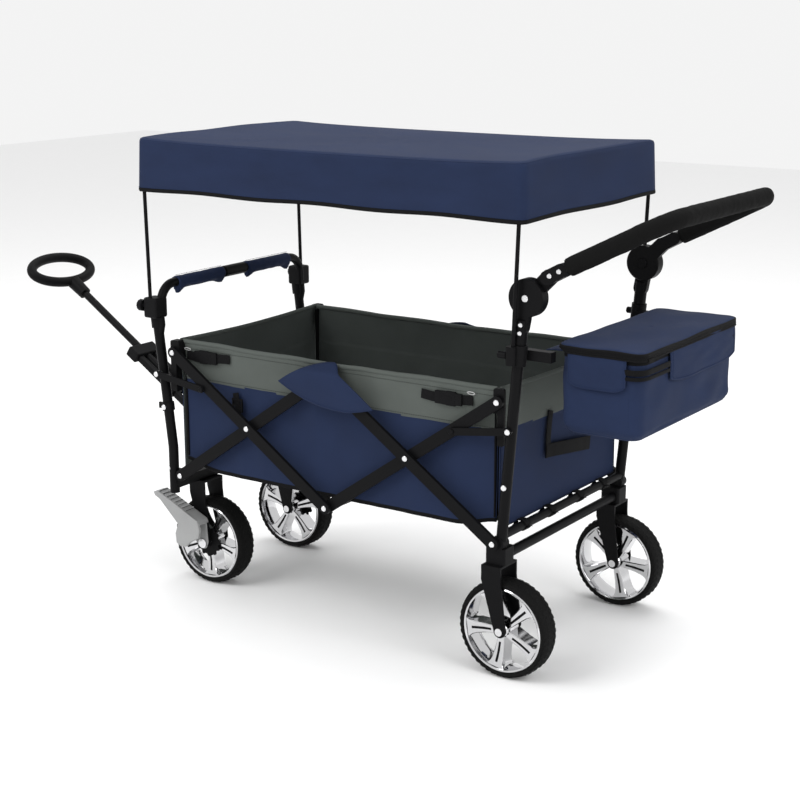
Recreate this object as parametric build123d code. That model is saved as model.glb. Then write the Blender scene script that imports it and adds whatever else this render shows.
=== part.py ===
from build123d import *
import os
from math import atan2, cos, degrees, hypot, radians, sin

# Folding camp wagon, modelled in millimetres with +Z up. +X points to the push bar, -X to the
# pull handle. While the pieces are built, x = 0 is the middle of the folding side frames and
# z = 0 is the ground; at the end everything moves along X, so the origin is the middle of its base.
# Side pieces are drawn on the +Y side, y standing for the distance from the wagon's middle plane,
# and mirrored to the other side.

# ---- driving dimensions ----
pin_span = 408.6          # from the middle pins to the end pins of one side frame, along X
pin_low = 276.5           # height of the lower scissor pins
pin_rise = 282.0          # from the lower pins to the upper pins
bar_width = 25.0
bar_thick = 8.0
layer_gap = 3.0           # washer between the two bars that cross
post_y = 250.0            # post centre lines, each side of the middle plane
post_radius = 11.0
tube_wall = 1.5
post_to_bar = 1.5         # side gap between a post and the outer bars
wheel_radius = 100.0
tyre_width = 51.0
rim_radius = 86.5
hub_radius = 16.0
axle_radius = 5.0
spoke_count = 5
front_track = 300.0
rear_track = 480.8
front_wheel_x = -408.2
rear_wheel_x = 428.8
caster_trail = 21.0
fork_gap = 2.5            # between a tyre's side and the fork arm
fork_plate = 4.0
running = 0.06            # radial clearance of every turning or sliding fit
air = 0.3                 # gap between soft pieces and their neighbours
bolt_radius = 3.0
head_radius = 6.0
head_height = 3.0

# end frames
front_post_x = -433.5
front_post_foot = 233.0
front_post_bend = 339.0
front_post_top = 630.0
front_lean = 6.7          # degrees that the upper post leans towards the pull handle
rear_post_x = 418.0       # at the height of the lower pins
rear_post_foot = 247.0
rear_post_top = 722.0
rear_lean = 5.0
cross_tube = 22.0         # square tube between the front posts
cross_tube_z = 255.0
low_bar_z = 246.0
low_bar_radius = 10.0
high_bar_z = 291.0
high_bar_radius = 9.0
fork_top_rear = 232.0
fork_top_front = cross_tube_z - cross_tube / 2
stem_radius = 8.0
stem_length = 13.0
link_z = 506.0
link_width = 15.0
link_thick = 4.0

# basket
basket_half = 404.0
basket_y = 244.0
basket_floor_z = 296.0
basket_top = 586.0
fabric = 5.0

# canopy
canopy_front = -485.3
canopy_rear = 469.0
canopy_y = 274.0
canopy_bottom = 907.5
canopy_top = 1023.9
canopy_skin = 3.0
rod_radius = 4.0
rod_y = 267.0
rod_foot = 642.0
rod_front_x = -469.0
rod_rear_x = 447.0
rod_front_lean = -0.02    # sideways step along X for each step up
rod_rear_lean = 0.038

# grab bar between the front posts
grab_radius = 10.0
grab_x = -457.0
grab_y = 247.0
grab_z = 700.0
sleeve_radius = 15.0
sleeve_near = 40.0
sleeve_far = 198.0

# pull handle
handle_x = -455.0
handle_z = 275.0
handle_angle = 33.5       # degrees above the ground
rail_y = 26.0
rail_size = 15.0
rail_length = 380.0
shaft_radius = 9.0
shaft_start = 205.0
shaft_end = 610.0
ring_centre = 675.0       # from the pivot, along the handle
ring_half_width = 92.0
ring_half_length = 45.0
ring_tube = 12.0

# push bar
disc_x = 466.0
disc_z = 766.0
disc_radius = 37.0
disc_inner = 230.0
disc_split = 243.0
disc_outer = 256.0
push_y = 240.0
push_tube_radius = 11.0
foam_radius = 18.0
push_end_x = 745.0
push_end_z = 929.0
push_bend = 60.0
push_start_x = 512.0
push_start_z = 811.0
foam_start = 42.0         # along the tube from its start
button_radius = 11.0
button_depth = 9.0
button_travel = 4.0

# rear bag
bag_front = 515.0
bag_rear = 690.0
bag_y = 215.0
bag_bottom = 499.0
bag_rim = 673.0
bag_wall = 4.0
lid_thick = 7.0

# ---- worked out from the above ----
outer_in = post_y + post_radius + post_to_bar
outer_out = outer_in + bar_thick
inner_out = outer_in - layer_gap
inner_in = inner_out - bar_thick
pin_high = pin_low + pin_rise
front_stem_x = front_wheel_x - caster_trail
rear_stem_x = rear_wheel_x - caster_trail


def along(start, direction, distance):
    """A point at a distance from start along an XZ direction given in degrees."""
    return start[0] + distance * cos(radians(direction)), start[1] + distance * sin(radians(direction))


def rod(a, b, radius):
    """A round bar from point a to point b."""
    start, end = Vector(*a), Vector(*b)
    place = Plane(origin=start, z_dir=(end - start).normalized())
    return place * Cylinder(radius, (end - start).length, align=(Align.CENTER, Align.CENTER, Align.MIN))


def cross_pin(x, z, y0, y1, radius):
    """A round bar along Y."""
    return rod((x, y0, z), (x, y1, z), radius)


def block(x0, x1, y0, y1, z0, z1):
    """A box between two corners."""
    return Pos((x0 + x1) / 2, (y0 + y1) / 2, (z0 + z1) / 2) * Box(x1 - x0, y1 - y0, z1 - z0)


def side_plate(points, y0, y1):
    """A plate with an XZ outline, from y0 to y1."""
    outline = make_face(Polyline(*[(x, y0, z) for x, z in points], close=True))
    return extrude(outline, amount=y1 - y0, dir=(0, 1, 0))


def slat(a, b, width, y0, y1):
    """A flat bar with round ends between two XZ points."""
    length = hypot(b[0] - a[0], b[1] - a[1])
    place = Plane(origin=(a[0], y0, a[1]), x_dir=(b[0] - a[0], 0, b[1] - a[1]), z_dir=(0, 1, 0))
    return place * extrude(Pos(length / 2, 0) * SlotCenterToCenter(length, width), amount=y1 - y0)


def bent_tube(points, radius, bend, bore=0.0):
    """A round tube along straight runs joined by arcs."""
    path = FilletPolyline(*points, radius=bend)
    section = Circle(radius) - Circle(bore) if bore else Circle(radius)
    return sweep(Plane(origin=path @ 0, z_dir=path % 0) * section, path=path)


def bolt(x, z, face, depth, radius=bolt_radius, head=head_radius):
    """A bolt along Y with its head outside of face and its shank reaching inwards."""
    shank = cross_pin(x, z, face - depth, face + 0.5, radius)
    cap = cross_pin(x, z, face, face + head_height, head)
    return shank + chamfer(cap.edges().sort_by(Axis.Y)[-1], head_height * 0.4)


def both(solids):
    """The pieces of one side and their mirror images on the other side."""
    return solids + [mirror(s, about=Plane.XZ) for s in solids]


def rear_post_at(z):
    return rear_post_x + (z - pin_low) * sin(radians(rear_lean)) / cos(radians(rear_lean))


def front_post_at(z):
    rise = max(0.0, z - front_post_bend)
    return front_post_x - rise * sin(radians(front_lean)) / cos(radians(front_lean))


rear_post_solid = rod((rear_post_at(rear_post_foot), post_y, rear_post_foot),
                      (rear_post_at(rear_post_top), post_y, rear_post_top), post_radius)


def rear_posts():
    bore = rod((rear_post_at(rear_post_foot - 1), post_y, rear_post_foot - 1),
               (rear_post_at(rear_post_top + 1), post_y, rear_post_top + 1), post_radius - tube_wall)
    return both([rear_post_solid - bore - rear_bolts_cut])


front_post_path = [(front_post_x, post_y, front_post_foot), (front_post_x, post_y, front_post_bend),
                   (front_post_at(front_post_top), post_y, front_post_top)]
front_post_solid = bent_tube(front_post_path, post_radius, 80)


# ---- fasteners of the two end frames ----
link_in_front = outer_out + 0.5
link_out_front = link_in_front + link_thick
link_out_rear = outer_in + link_thick
rear_link_pin = (rear_post_at(link_z), link_z)
front_link_pin = (front_post_at(link_z), link_z)
clamp_rear = (636.0, 676.0)
clamp_front = (612.0, 675.0)
knob_radius = 7.0


def frame_bolt(x, z, face, depth, collar_from, collar_to):
    """A bolt that carries a spacing collar between a frame and the piece that turns on it."""
    return bolt(x, z, face, depth) + cross_pin(x, z, collar_from, collar_to, head_radius)


rear_bolt_list = [
    frame_bolt(pin_span, pin_low, outer_out, 26, outer_in - 0.5, outer_in),
    frame_bolt(*rear_link_pin, link_out_rear, 16, post_y + post_radius - 2, outer_in),
    bolt(rear_post_at(392), 392, post_y + post_radius - 0.4, 6),
    bolt(rear_post_at(700) + 4.5, 700, 262.2, 10, 2.5, 4.5),
    bolt(rear_post_at(716) + 4.5, 716, 262.2, 10, 2.5, 4.5),
    bolt(disc_x, disc_z, disc_outer, 15, 4.0, 7.0),
]
rear_bolts_cut = Compound(rear_bolt_list[:5])


def rear_frame_bolts():
    return both([b for b in rear_bolt_list])


front_bolt_list = [
    frame_bolt(-pin_span, pin_low, inner_out, 20, inner_in - 0.5, inner_in),
    frame_bolt(*front_link_pin, link_out_front, 24, post_y + post_radius - 2, link_in_front),
    bolt(front_post_at(430), 430, post_y + post_radius + 3, 8),
    bolt(front_post_at(282) - 6, 290, post_y + post_radius - 0.8, 6, 2.5, 4.5),
]


def front_frame_bolts():
    return both([b for b in front_bolt_list])


front_bolts_cut = Compound(front_bolt_list)


def front_posts():
    bore = bent_tube([(front_post_x, post_y, front_post_foot - 1)] + front_post_path[1:2]
                     + [(front_post_at(front_post_top + 1), post_y, front_post_top + 1)],
                     post_radius - tube_wall, 80)
    return both([front_post_solid - bore - front_bolts_cut])


def front_post_collars():
    z0, z1 = 421.0, 439.0
    lean_a = (front_post_at(z0), post_y, z0)
    lean_b = (front_post_at(z1), post_y, z1)
    ring = rod(lean_a, lean_b, post_radius + 3)
    tab = block(front_post_at(430) - 24, front_post_at(430), post_y - 2, post_y + 4, 423, 437)
    return both([ring + tab - front_post_solid - front_bolts_cut])


def front_cross_tube():
    reach = post_y
    half = cross_tube / 2
    outside = block(front_post_x - half, front_post_x + half, -reach, reach,
                    cross_tube_z - half, cross_tube_z + half)
    inside = block(front_post_x - half + tube_wall, front_post_x + half - tube_wall, -reach, reach,
                   cross_tube_z - half + tube_wall, cross_tube_z + half - tube_wall)
    tube = outside - inside
    for post in both([front_post_solid]):
        tube -= post
    return [tube.solids().sort_by(SortBy.VOLUME)[-1]]


def front_pin_brackets():
    """Plastic sockets that carry the lower ends of the front bars beside the posts."""
    arm = slat((-pin_span, pin_low), (front_post_x, pin_low), 20, post_y - 14, inner_in - 0.5)
    return both([arm - front_post_solid - front_bolts_cut])


low_bar_end = rear_track / 2 - 14


def rear_cross_bars():
    """The low bar plugs into the corner blocks and the high bar meets the posts."""
    bars = []
    for z, radius, end in ((low_bar_z, low_bar_radius, low_bar_end), (high_bar_z, high_bar_radius, post_y)):
        x = rear_post_at(z)
        bar = cross_pin(x, z, -end, end, radius) - cross_pin(x, z, -end, end, radius - tube_wall)
        for post in both([rear_post_solid]):
            bar -= post
        bars.append(bar.solids().sort_by(SortBy.VOLUME)[-1])
    return bars


def caster_blocks():
    """Corner blocks under the rear posts: each holds its post's foot, a caster stem and a pin bracket."""
    y0, y1 = rear_track / 2 - 19, post_y + post_radius + 1
    body = block(rear_stem_x - 20, rear_stem_x + 24, y0, y1, fork_top_rear + 0.5,
                 pin_low - 10)
    body = fillet(body.edges().filter_by(Axis.Z), 6)
    arm = slat((pin_span, pin_low), (rear_post_at(pin_low), pin_low), 24, post_y - 10, outer_in - 0.5)
    bore = rod((rear_stem_x, rear_track / 2, fork_top_rear), (rear_stem_x, rear_track / 2,
               fork_top_rear + stem_length + 0.5), stem_radius + running)
    low_bar = cross_pin(rear_post_at(low_bar_z), low_bar_z, 0, low_bar_end, low_bar_radius)
    high_bar = cross_pin(rear_post_at(high_bar_z), high_bar_z, 0, post_y, high_bar_radius)
    return both([body + arm - bore - rear_post_solid - low_bar - high_bar - rear_bolt_list[0]])


# ---- wheels ----
def tyre(x, y):
    half = tyre_width / 2
    with BuildSketch(Plane.XZ) as section:
        with BuildLine():
            Polyline((rim_radius, -half + 3), (wheel_radius - 10, -half), (wheel_radius - 3, -half + 6))
            ThreePointArc((wheel_radius - 3, -half + 6), (wheel_radius, 0), (wheel_radius - 3, half - 6))
            Polyline((wheel_radius - 3, half - 6), (wheel_radius - 10, half),
                     (rim_radius, half - 3), (rim_radius, -half + 3))
        make_face()
    ring = revolve(section.sketch, axis=Axis.Z)
    return Pos(x, y, wheel_radius) * Rot(90, 0, 0) * ring


def rim(x, y):
    half = tyre_width / 2 - 3
    barrel = Cylinder(rim_radius, 2 * half) - Cylinder(rim_radius - 4, 2 * half)
    hub = Cylinder(hub_radius, 2 * half + 2)
    wheel = barrel + hub
    for i in range(spoke_count):
        for side in (-8, 8):
            spoke = Pos((hub_radius + rim_radius) / 2 - 3, 0, 0) * Box(rim_radius - hub_radius + 4, 10, 18)
            wheel += Rot(0, 0, i * 360 / spoke_count + side) * spoke
    wheel &= Cylinder(rim_radius, 2 * half + 2)
    wheel -= Cylinder(axle_radius + running, 3 * half)
    return Pos(x, y, wheel_radius) * Rot(90, 0, 0) * wheel


def fork(stem_x, axle_x, y, top, stem):
    """Bridge and two tapered arms, with a stem above it where it swivels."""
    inside = tyre_width / 2 + fork_gap
    outside = inside + fork_plate
    shape = block(stem_x - 22, stem_x + 22, y - outside, y + outside, top - fork_plate, top)
    for y0, y1 in ((y - outside, y - inside), (y + inside, y + outside)):
        arm = side_plate([(stem_x - 22, top), (stem_x + 22, top), (stem_x + 22, top - 30),
                          (axle_x + 13, wheel_radius), (axle_x - 13, wheel_radius),
                          (stem_x - 22, top - 30)], y0, y1)
        shape += arm + cross_pin(axle_x, wheel_radius, y0, y1, 13)
    shape -= cross_pin(axle_x, wheel_radius, y - outside, y + outside, axle_radius)
    if stem:
        shape += rod((stem_x, y, top - 1), (stem_x, y, top + stem), stem_radius)
    return shape


axle_reach = tyre_width / 2 + fork_gap
axle_outer = axle_reach + fork_plate
axle_head = 4.0
pedal_inner = front_track / 2 + axle_outer + axle_head + 1
pedal_wall = 4.0
pedal_width = 36.0
pedal_journal = 8.0


def pedal_pivot():
    """Journal and cap on the near front axle, which carry the brake pedal."""
    head = front_track / 2 + axle_outer + 1
    cap = pedal_inner + pedal_wall + air
    pivot = cross_pin(front_wheel_x, wheel_radius, -cap, -head, pedal_journal)
    return pivot + cross_pin(front_wheel_x, wheel_radius, -cap - 3, -cap, pedal_journal + 3)


def axle(x, y):
    """Axle bolt with a head outside the outer fork arm, a nut inside and spacers to the hub."""
    reach = axle_reach
    outer = axle_outer
    hub_side = tyre_width / 2 - 2
    shape = cross_pin(x, wheel_radius, y - outer, y + outer, axle_radius)
    for y0, y1, radius in ((-outer - axle_head, -outer, 8), (outer, outer + axle_head, 8),
                           (hub_side + air, reach, 9), (-reach, -hub_side - air, 9)):
        shape += cross_pin(x, wheel_radius, y + y0, y + y1, radius)
    return shape


# ---- folding side frames ----
def scissor_bar(a, b, y0, y1):
    bar = slat(a, b, bar_width, y0, y1)
    middle = ((a[0] + b[0]) / 2, (a[1] + b[1]) / 2)
    for x, z in (a, b, middle):
        bar -= cross_pin(x, z, y0 - 1, y1 + 1, bolt_radius + running)
    return bar


def scissor_bolts(spots):
    """Bolts through both layers, each with the washer collar between the bars and a nut inside."""
    solids = []
    for x, z in spots:
        shape = bolt(x, z, outer_out, outer_out - inner_in + 1)
        shape += cross_pin(x, z, inner_out, outer_in, head_radius)
        shape += cross_pin(x, z, inner_in - 3.5, inner_in, head_radius - 0.5)
        solids.append(shape)
    return both(solids)


low_middle = (0.0, pin_low)
high_middle = (0.0, pin_high)
rear_foot, rear_head = (pin_span, pin_low), (pin_span, pin_high)
front_foot, front_head = (-pin_span, pin_low), (-pin_span, pin_high)
rear_crossing = (pin_span / 2, (pin_low + pin_high) / 2)
front_crossing = (-pin_span / 2, (pin_low + pin_high) / 2)


def outer_bolts_front():
    """Bolts of the front crossing and the front corners, and those that screw into the cross tube."""
    low = bolt(*low_middle, outer_out, outer_out - inner_in + 14)
    low += cross_pin(*low_middle, inner_out, outer_in, head_radius)
    return scissor_bolts([front_crossing]) + both([low, corner_bolt(front_head, outer_in, outer_out)])


def bottom_cross_tube():
    radius = 9.0
    tube = cross_pin(*low_middle, -inner_in, inner_in, radius)
    tube -= cross_pin(*low_middle, -inner_in + 16, inner_in - 16, radius - tube_wall)
    tube -= cross_pin(*low_middle, -inner_in, inner_in, bolt_radius)
    return [tube]


def corner_bolt(head, y_bar_in, y_bar_out):
    """The bolt through an upper bar end that a corner bracket turns on."""
    screw = bolt(*head, y_bar_out, y_bar_out - basket_y - 2)
    return screw + cross_pin(*head, y_bar_in - 0.5, y_bar_in, head_radius)


def corner_brackets(head, y_bar_in, direction):
    """Plastic corner pieces on the upper bar ends, which hold the basket's rim."""
    x = head[0]
    plate = block(x - 12, x + 12, basket_y + air, y_bar_in - 0.5, pin_high - 88, pin_high + 26)
    plate = fillet(plate.edges().filter_by(Axis.Y), 5)
    strip_cut = block(x - 13, x - 3, 0, 300, pin_high - 89, pin_high - 24)
    if direction < 0:
        strip_cut = block(x + 3, x + 13, 0, 300, pin_high - 89, pin_high - 24)
    bore = cross_pin(x, pin_high, basket_y, y_bar_in, bolt_radius + running)
    return both([plate - strip_cut - bore])


link_reach = 129.0
link_drop = 8.0           # degrees below level at which the links lie when the wagon is open


def links(pin, direction, y0, y1, bar_face):
    """Flat links from the posts to the bars: turning on the post, with a rivet at the free end."""
    heading = 180 + link_drop if direction < 0 else -link_drop
    end = along(pin, heading, link_reach)
    plate = slat(pin, end, link_width, y0, y1)
    plate -= cross_pin(*pin, y0 - 1, y1 + 1, bolt_radius + running)
    plate += bolt(*end, y1, y1 - bar_face - air)
    return both([plate])


# ---- basket ----
def basket_floor():
    return [block(-basket_half + air, basket_half - air, -basket_y + fabric + air, basket_y - fabric - air,
                  basket_floor_z - 6, basket_floor_z)]


def basket_side_walls():
    wall = block(-basket_half, basket_half, basket_y - fabric, basket_y, basket_floor_z - 6, basket_top)
    return both([wall])


def end_wall(x0, x1, bottom):
    return [block(x0, x1, -basket_y + fabric + 2, basket_y - fabric - 2, bottom, basket_top)]


# ---- canopy ----
def canopy_cover():
    outside = block(canopy_front, canopy_rear, -canopy_y, canopy_y, canopy_bottom, canopy_top)
    outside = fillet(outside.edges().filter_by(Axis.Z) + outside.edges().group_by(Axis.Z)[-1], 9)
    inside = block(canopy_front + canopy_skin, canopy_rear - canopy_skin, -canopy_y + canopy_skin - 1.5,
                   canopy_y - canopy_skin + 1.5, canopy_bottom - 1, canopy_top - canopy_skin - 1)
    inside = fillet(inside.edges().filter_by(Axis.Z) + inside.edges().group_by(Axis.Z)[-1], 7)
    return [outside - inside]


def canopy_bow(x, lean):
    """Two uprights and the cross rod that holds the cover's end."""
    top = canopy_top - canopy_skin - 1 - rod_radius - air - 1
    high_x = x + lean * (top - rod_foot)
    points = [(x, -rod_y, rod_foot), (high_x, -rod_y, top), (high_x, rod_y, top), (x, rod_y, rod_foot)]
    return [bent_tube(points, rod_radius, 24)]


front_bow = canopy_bow(rod_front_x, rod_front_lean)
rear_bow = canopy_bow(rod_rear_x, rod_rear_lean)


def knob(x0, x1, y, z):
    body = rod((x1, y, z), (x0, y, z), knob_radius)
    return chamfer(body.edges().filter_by(GeomType.CIRCLE), 1.5)


def rear_canopy_clamps():
    z0, z1 = clamp_rear
    sleeve = rod((rear_post_at(z0), post_y, z0), (rear_post_at(z1), post_y, z1), post_radius + 5)
    ear = block(rod_rear_x - 12, rod_rear_x + 8, post_y, rod_y + 7, z0 + 2, z1 - 2)
    clamp = sleeve + fillet(ear.edges().filter_by(Axis.Z), 4)
    clamp = clamp - rear_post_solid - rear_bow[0]
    return both([clamp])


def rear_clamp_knobs():
    return both([knob(rod_rear_x - 31, rod_rear_x - 12, rod_y, 656)])


grab_path = [(grab_x, -grab_y, 640), (grab_x, -grab_y, grab_z), (grab_x, grab_y, grab_z), (grab_x, grab_y, 640)]
grab_solid = bent_tube(grab_path, grab_radius, 42)


def front_canopy_clamps():
    z0, z1 = clamp_front
    body = block(-491, -444, post_y - 16, rod_y + 7, z0, z1)
    body = fillet(body.edges().filter_by(Axis.Z), 6)
    clamp = body - front_post_solid - front_bow[0] - grab_solid
    return both([clamp])


def front_clamp_knobs():
    return both([knob(-516, -491, rod_y, 655)])


def grab_bar():
    bore = bent_tube([(grab_x, -grab_y, 639)] + grab_path[1:3] + [(grab_x, grab_y, 639)], grab_radius - tube_wall, 42)
    return [grab_solid - bore]


def grab_joint():
    ring = cross_pin(grab_x, grab_z, -sleeve_near + 4, sleeve_near - 4, grab_radius + 3)
    ring = chamfer(ring.edges().filter_by(GeomType.CIRCLE), 1.5)
    return [ring - grab_solid]


def grab_sleeves():
    sleeve = cross_pin(grab_x, grab_z, sleeve_near, sleeve_far, sleeve_radius)
    sleeve = fillet(sleeve.edges().filter_by(GeomType.CIRCLE), 3)
    return both([sleeve - grab_solid])


# ---- pull handle, drawn lying along +X from its pivot and then turned up ----
def raise_handle(shape):
    return Pos(handle_x, 0, handle_z) * Rot(0, 180 + handle_angle, 0) * shape


def handle_pivot():
    """Two lugs on the front cross tube and the pin between them, which the rails turn on."""
    half = cross_tube / 2
    front_face = front_post_x - half
    solids = []
    for side in (-1, 1):
        y0, y1 = sorted((side * (rail_y + rail_size / 2 + 0.5), side * (rail_y + rail_size / 2 + 5.5)))
        lug = slat((handle_x, handle_z), (front_post_x, handle_z - 4), 22, y0, y1)
        tube = block(front_face, front_post_x + half, -60, 60, cross_tube_z - half, cross_tube_z + half)
        solids.append(lug - tube - cross_pin(handle_x, handle_z, y0, y1, 4))
    reach = rail_y + rail_size / 2 + 5.5
    pin = cross_pin(handle_x, handle_z, -reach, reach, 4)
    pin += cross_pin(handle_x, handle_z, reach, reach + 3, 7) + cross_pin(handle_x, handle_z, -reach - 3, -reach, 7)
    return solids + [pin]


def handle_rails():
    solids = []
    for side in (-1, 1):
        rail = Pos(rail_length / 2 - 8, side * rail_y, 0) * Box(rail_length, rail_size, rail_size)
        rail = fillet(rail.edges().filter_by(Axis.X), 3)
        hole = Rot(90, 0, 0) * Cylinder(4 + running, 200)
        solids.append(raise_handle(rail - hole))
    return solids


rails_solid = Pos(rail_length / 2 - 8, 0, 0) * (
    Pos(0, rail_y, 0) * fillet(Box(rail_length, rail_size, rail_size).edges().filter_by(Axis.X), 3)
    + Pos(0, -rail_y, 0) * fillet(Box(rail_length, rail_size, rail_size).edges().filter_by(Axis.X), 3))


def handle_top_bracket():
    """Plate at the rails' upper end, which the shaft slides through."""
    body = Pos(rail_length - 26, 0, 0) * Box(34, 2 * rail_y + 30, 26)
    body = fillet(body.edges(), 4)
    body -= Rot(0, 90, 0) * Cylinder(shaft_radius + running, 3 * rail_length)
    return [raise_handle(body - rails_solid)]


def handle_slider():
    """Block on the shaft's lower end, which runs along both rails."""
    body = Pos(shaft_start + 14, 0, 0) * Box(28, 2 * rail_y + 28, 25)
    body = fillet(body.edges(), 4)
    for side in (-1, 1):
        body -= Pos(shaft_start, side * rail_y, 0) * Box(100, rail_size + 2 * air, rail_size + 2 * air)
    body -= Pos(shaft_start + 14, 0, 0) * Rot(0, 90, 0) * Cylinder(shaft_radius, 40)
    return [raise_handle(body)]


def handle_shaft():
    place = Pos(shaft_start, 0, 0) * Rot(0, 90, 0)
    length = shaft_end - shaft_start
    tube = place * Cylinder(shaft_radius, length, align=(Align.CENTER, Align.CENTER, Align.MIN))
    bore = place * Cylinder(shaft_radius - tube_wall, length, align=(Align.CENTER, Align.CENTER, Align.MIN))
    return [raise_handle(tube - bore)]


def handle_grip():
    """Oval ring with a stout grip on its far side and a neck clamped on the shaft."""
    outline = (Pos(ring_centre, 0) * Ellipse(ring_half_length, ring_half_width)).wire()
    ring = sweep(Plane(origin=outline @ 0, z_dir=outline % 0) * Circle(ring_tube), path=outline)
    neck_start = shaft_end - 30
    neck = Pos(neck_start, 0, 0) * Rot(0, 90, 0) * Cone(15, 17, ring_centre - ring_half_length - neck_start,
                                                        align=(Align.CENTER, Align.CENTER, Align.MIN))
    grip = ring + neck
    place = Pos(shaft_start, 0, 0) * Rot(0, 90, 0)
    grip -= place * Cylinder(shaft_radius, shaft_end - shaft_start, align=(Align.CENTER, Align.CENTER, Align.MIN))
    return [raise_handle(grip)]


# ---- push bar ----
def push_lower_arms():
    """Outer ratchet discs with the sleeves that fit over the rear posts."""
    z0 = clamp_rear[1] + 1
    sleeve = rod((rear_post_at(z0), post_y, z0), (rear_post_at(rear_post_top + 2), post_y, rear_post_top + 2),
                 post_radius + 2)
    disc = cross_pin(disc_x, disc_z, disc_split + 0.15, disc_outer, disc_radius)
    disc = chamfer(disc.edges().sort_by(Axis.Y)[-1], 2)
    neck = slat((rear_post_at(rear_post_top - 12), rear_post_top - 12), (disc_x, disc_z), 2 * post_radius + 8,
                disc_split + 0.15, disc_outer)
    arm = sleeve + disc + neck
    arm = arm - rear_post_solid - cross_pin(disc_x, disc_z, 200, 300, 4) - rear_bolts_cut
    return both([arm])


push_path = [(push_start_x, -push_y, push_start_z), (push_end_x, -push_y, push_end_z),
             (push_end_x, push_y, push_end_z), (push_start_x, push_y, push_start_z)]
push_solid = bent_tube(push_path, push_tube_radius, push_bend)
push_slope = degrees(atan2(push_end_z - push_start_z, push_end_x - push_start_x))
foam_point = along((push_start_x, push_start_z), push_slope, foam_start)
foam_path = [(foam_point[0], -push_y, foam_point[1])] + push_path[1:3] + [(foam_point[0], push_y, foam_point[1])]
push_bolt_list = [bolt(*along((push_start_x, push_start_z), push_slope, d), 252, 8, 2.5, 5) for d in (3, 25)]


def push_upper_arms():
    """Inner ratchet discs with the sockets that the push tube fits into."""
    disc = cross_pin(disc_x, disc_z, disc_inner, disc_split - 0.15, disc_radius)
    disc = chamfer(disc.edges().sort_by(Axis.Y)[0], 2)
    elbow = (push_start_x - 4, push_start_z - 3)
    tip = along((push_start_x, push_start_z), push_slope, foam_start - 14)
    arm = slat((disc_x, disc_z), elbow, 30, disc_inner, disc_split - 0.15)
    arm += slat(elbow, tip, 27, disc_inner - 2, 252)
    arm -= cross_pin(disc_x, disc_z, disc_split - 0.15, 300, disc_radius + 1)
    arm += disc
    arm -= cross_pin(disc_x, disc_z, 200, disc_inner + 10, button_radius + running)
    arm -= cross_pin(disc_x, disc_z, 200, 300, 4 + running)
    return both([arm - push_solid - Compound(push_bolt_list)])


def push_tube():
    bore = bent_tube(push_path, push_tube_radius - tube_wall, push_bend)
    return [push_solid - bore - Compound(both(push_bolt_list))]


def push_foam():
    foam = bent_tube(foam_path, foam_radius, push_bend)
    return [foam - push_solid]


def push_bolts():
    return both(push_bolt_list)


def push_button():
    """Release button in the inner disc, pressed towards the outer disc."""
    top = disc_inner - button_depth + 5
    body = cross_pin(disc_x, disc_z, top, top + button_depth, button_radius)
    return fillet(body.edges().sort_by(Axis.Y)[0], 1.5)


# ---- rear bag ----
def bag_brackets():
    """Arms from the rear clamps that the bag hangs on."""
    arm = block(rear_post_at(655) + 5, bag_front, 222, 240, 645, 665)
    for_cut = rod((rear_post_at(600), post_y, 600), (rear_post_at(700), post_y, 700), post_radius + 5)
    return both([arm - for_cut])


def bag_shell():
    outside = block(bag_front, bag_rear, -bag_y, bag_y, bag_bottom, bag_rim)
    outside = fillet(outside.edges().filter_by(Axis.Z) + outside.edges().group_by(Axis.Z)[0], 10)
    inside = block(bag_front + bag_wall, bag_rear - bag_wall, -bag_y + bag_wall, bag_y - bag_wall,
                   bag_bottom + bag_wall, bag_rim + 10)
    return [outside - inside]


def bag_lid():
    lid = block(bag_front, bag_rear, -bag_y, bag_y, bag_rim + air, bag_rim + lid_thick)
    return [fillet(lid.edges().filter_by(Axis.Z), 9)]


# ---- brake pedal on the near front wheel ----
def brake_pedal():
    """Ribbed foot plate with an outer cheek and an inner arm that turns on the axle."""
    y0, y1 = pedal_inner, pedal_inner + pedal_width
    foot = side_plate([(-528, 210), (-512, 214), (-398, 163), (-392, 152), (-400, 150), (-524, 201)], y0, y1)
    cheek = side_plate([(-528, 205), (-398, 158), (-392, 140), (-404, 118), (-466, 88), (-478, 98),
                        (-455, 138)], y1 - pedal_wall, y1)
    arm = side_plate([(-470, 188), (-398, 158), (-394, 100), (-422, 100)], y0, y0 + pedal_wall)
    arm += cross_pin(front_wheel_x, wheel_radius, y0, y0 + pedal_wall, pedal_journal + 5)
    pedal = foot + cheek + arm
    return [mirror(pedal - cross_pin(front_wheel_x, wheel_radius, 0, 300, pedal_journal + running), about=Plane.XZ)]


front_y = front_track / 2
rear_y = rear_track / 2

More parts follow.
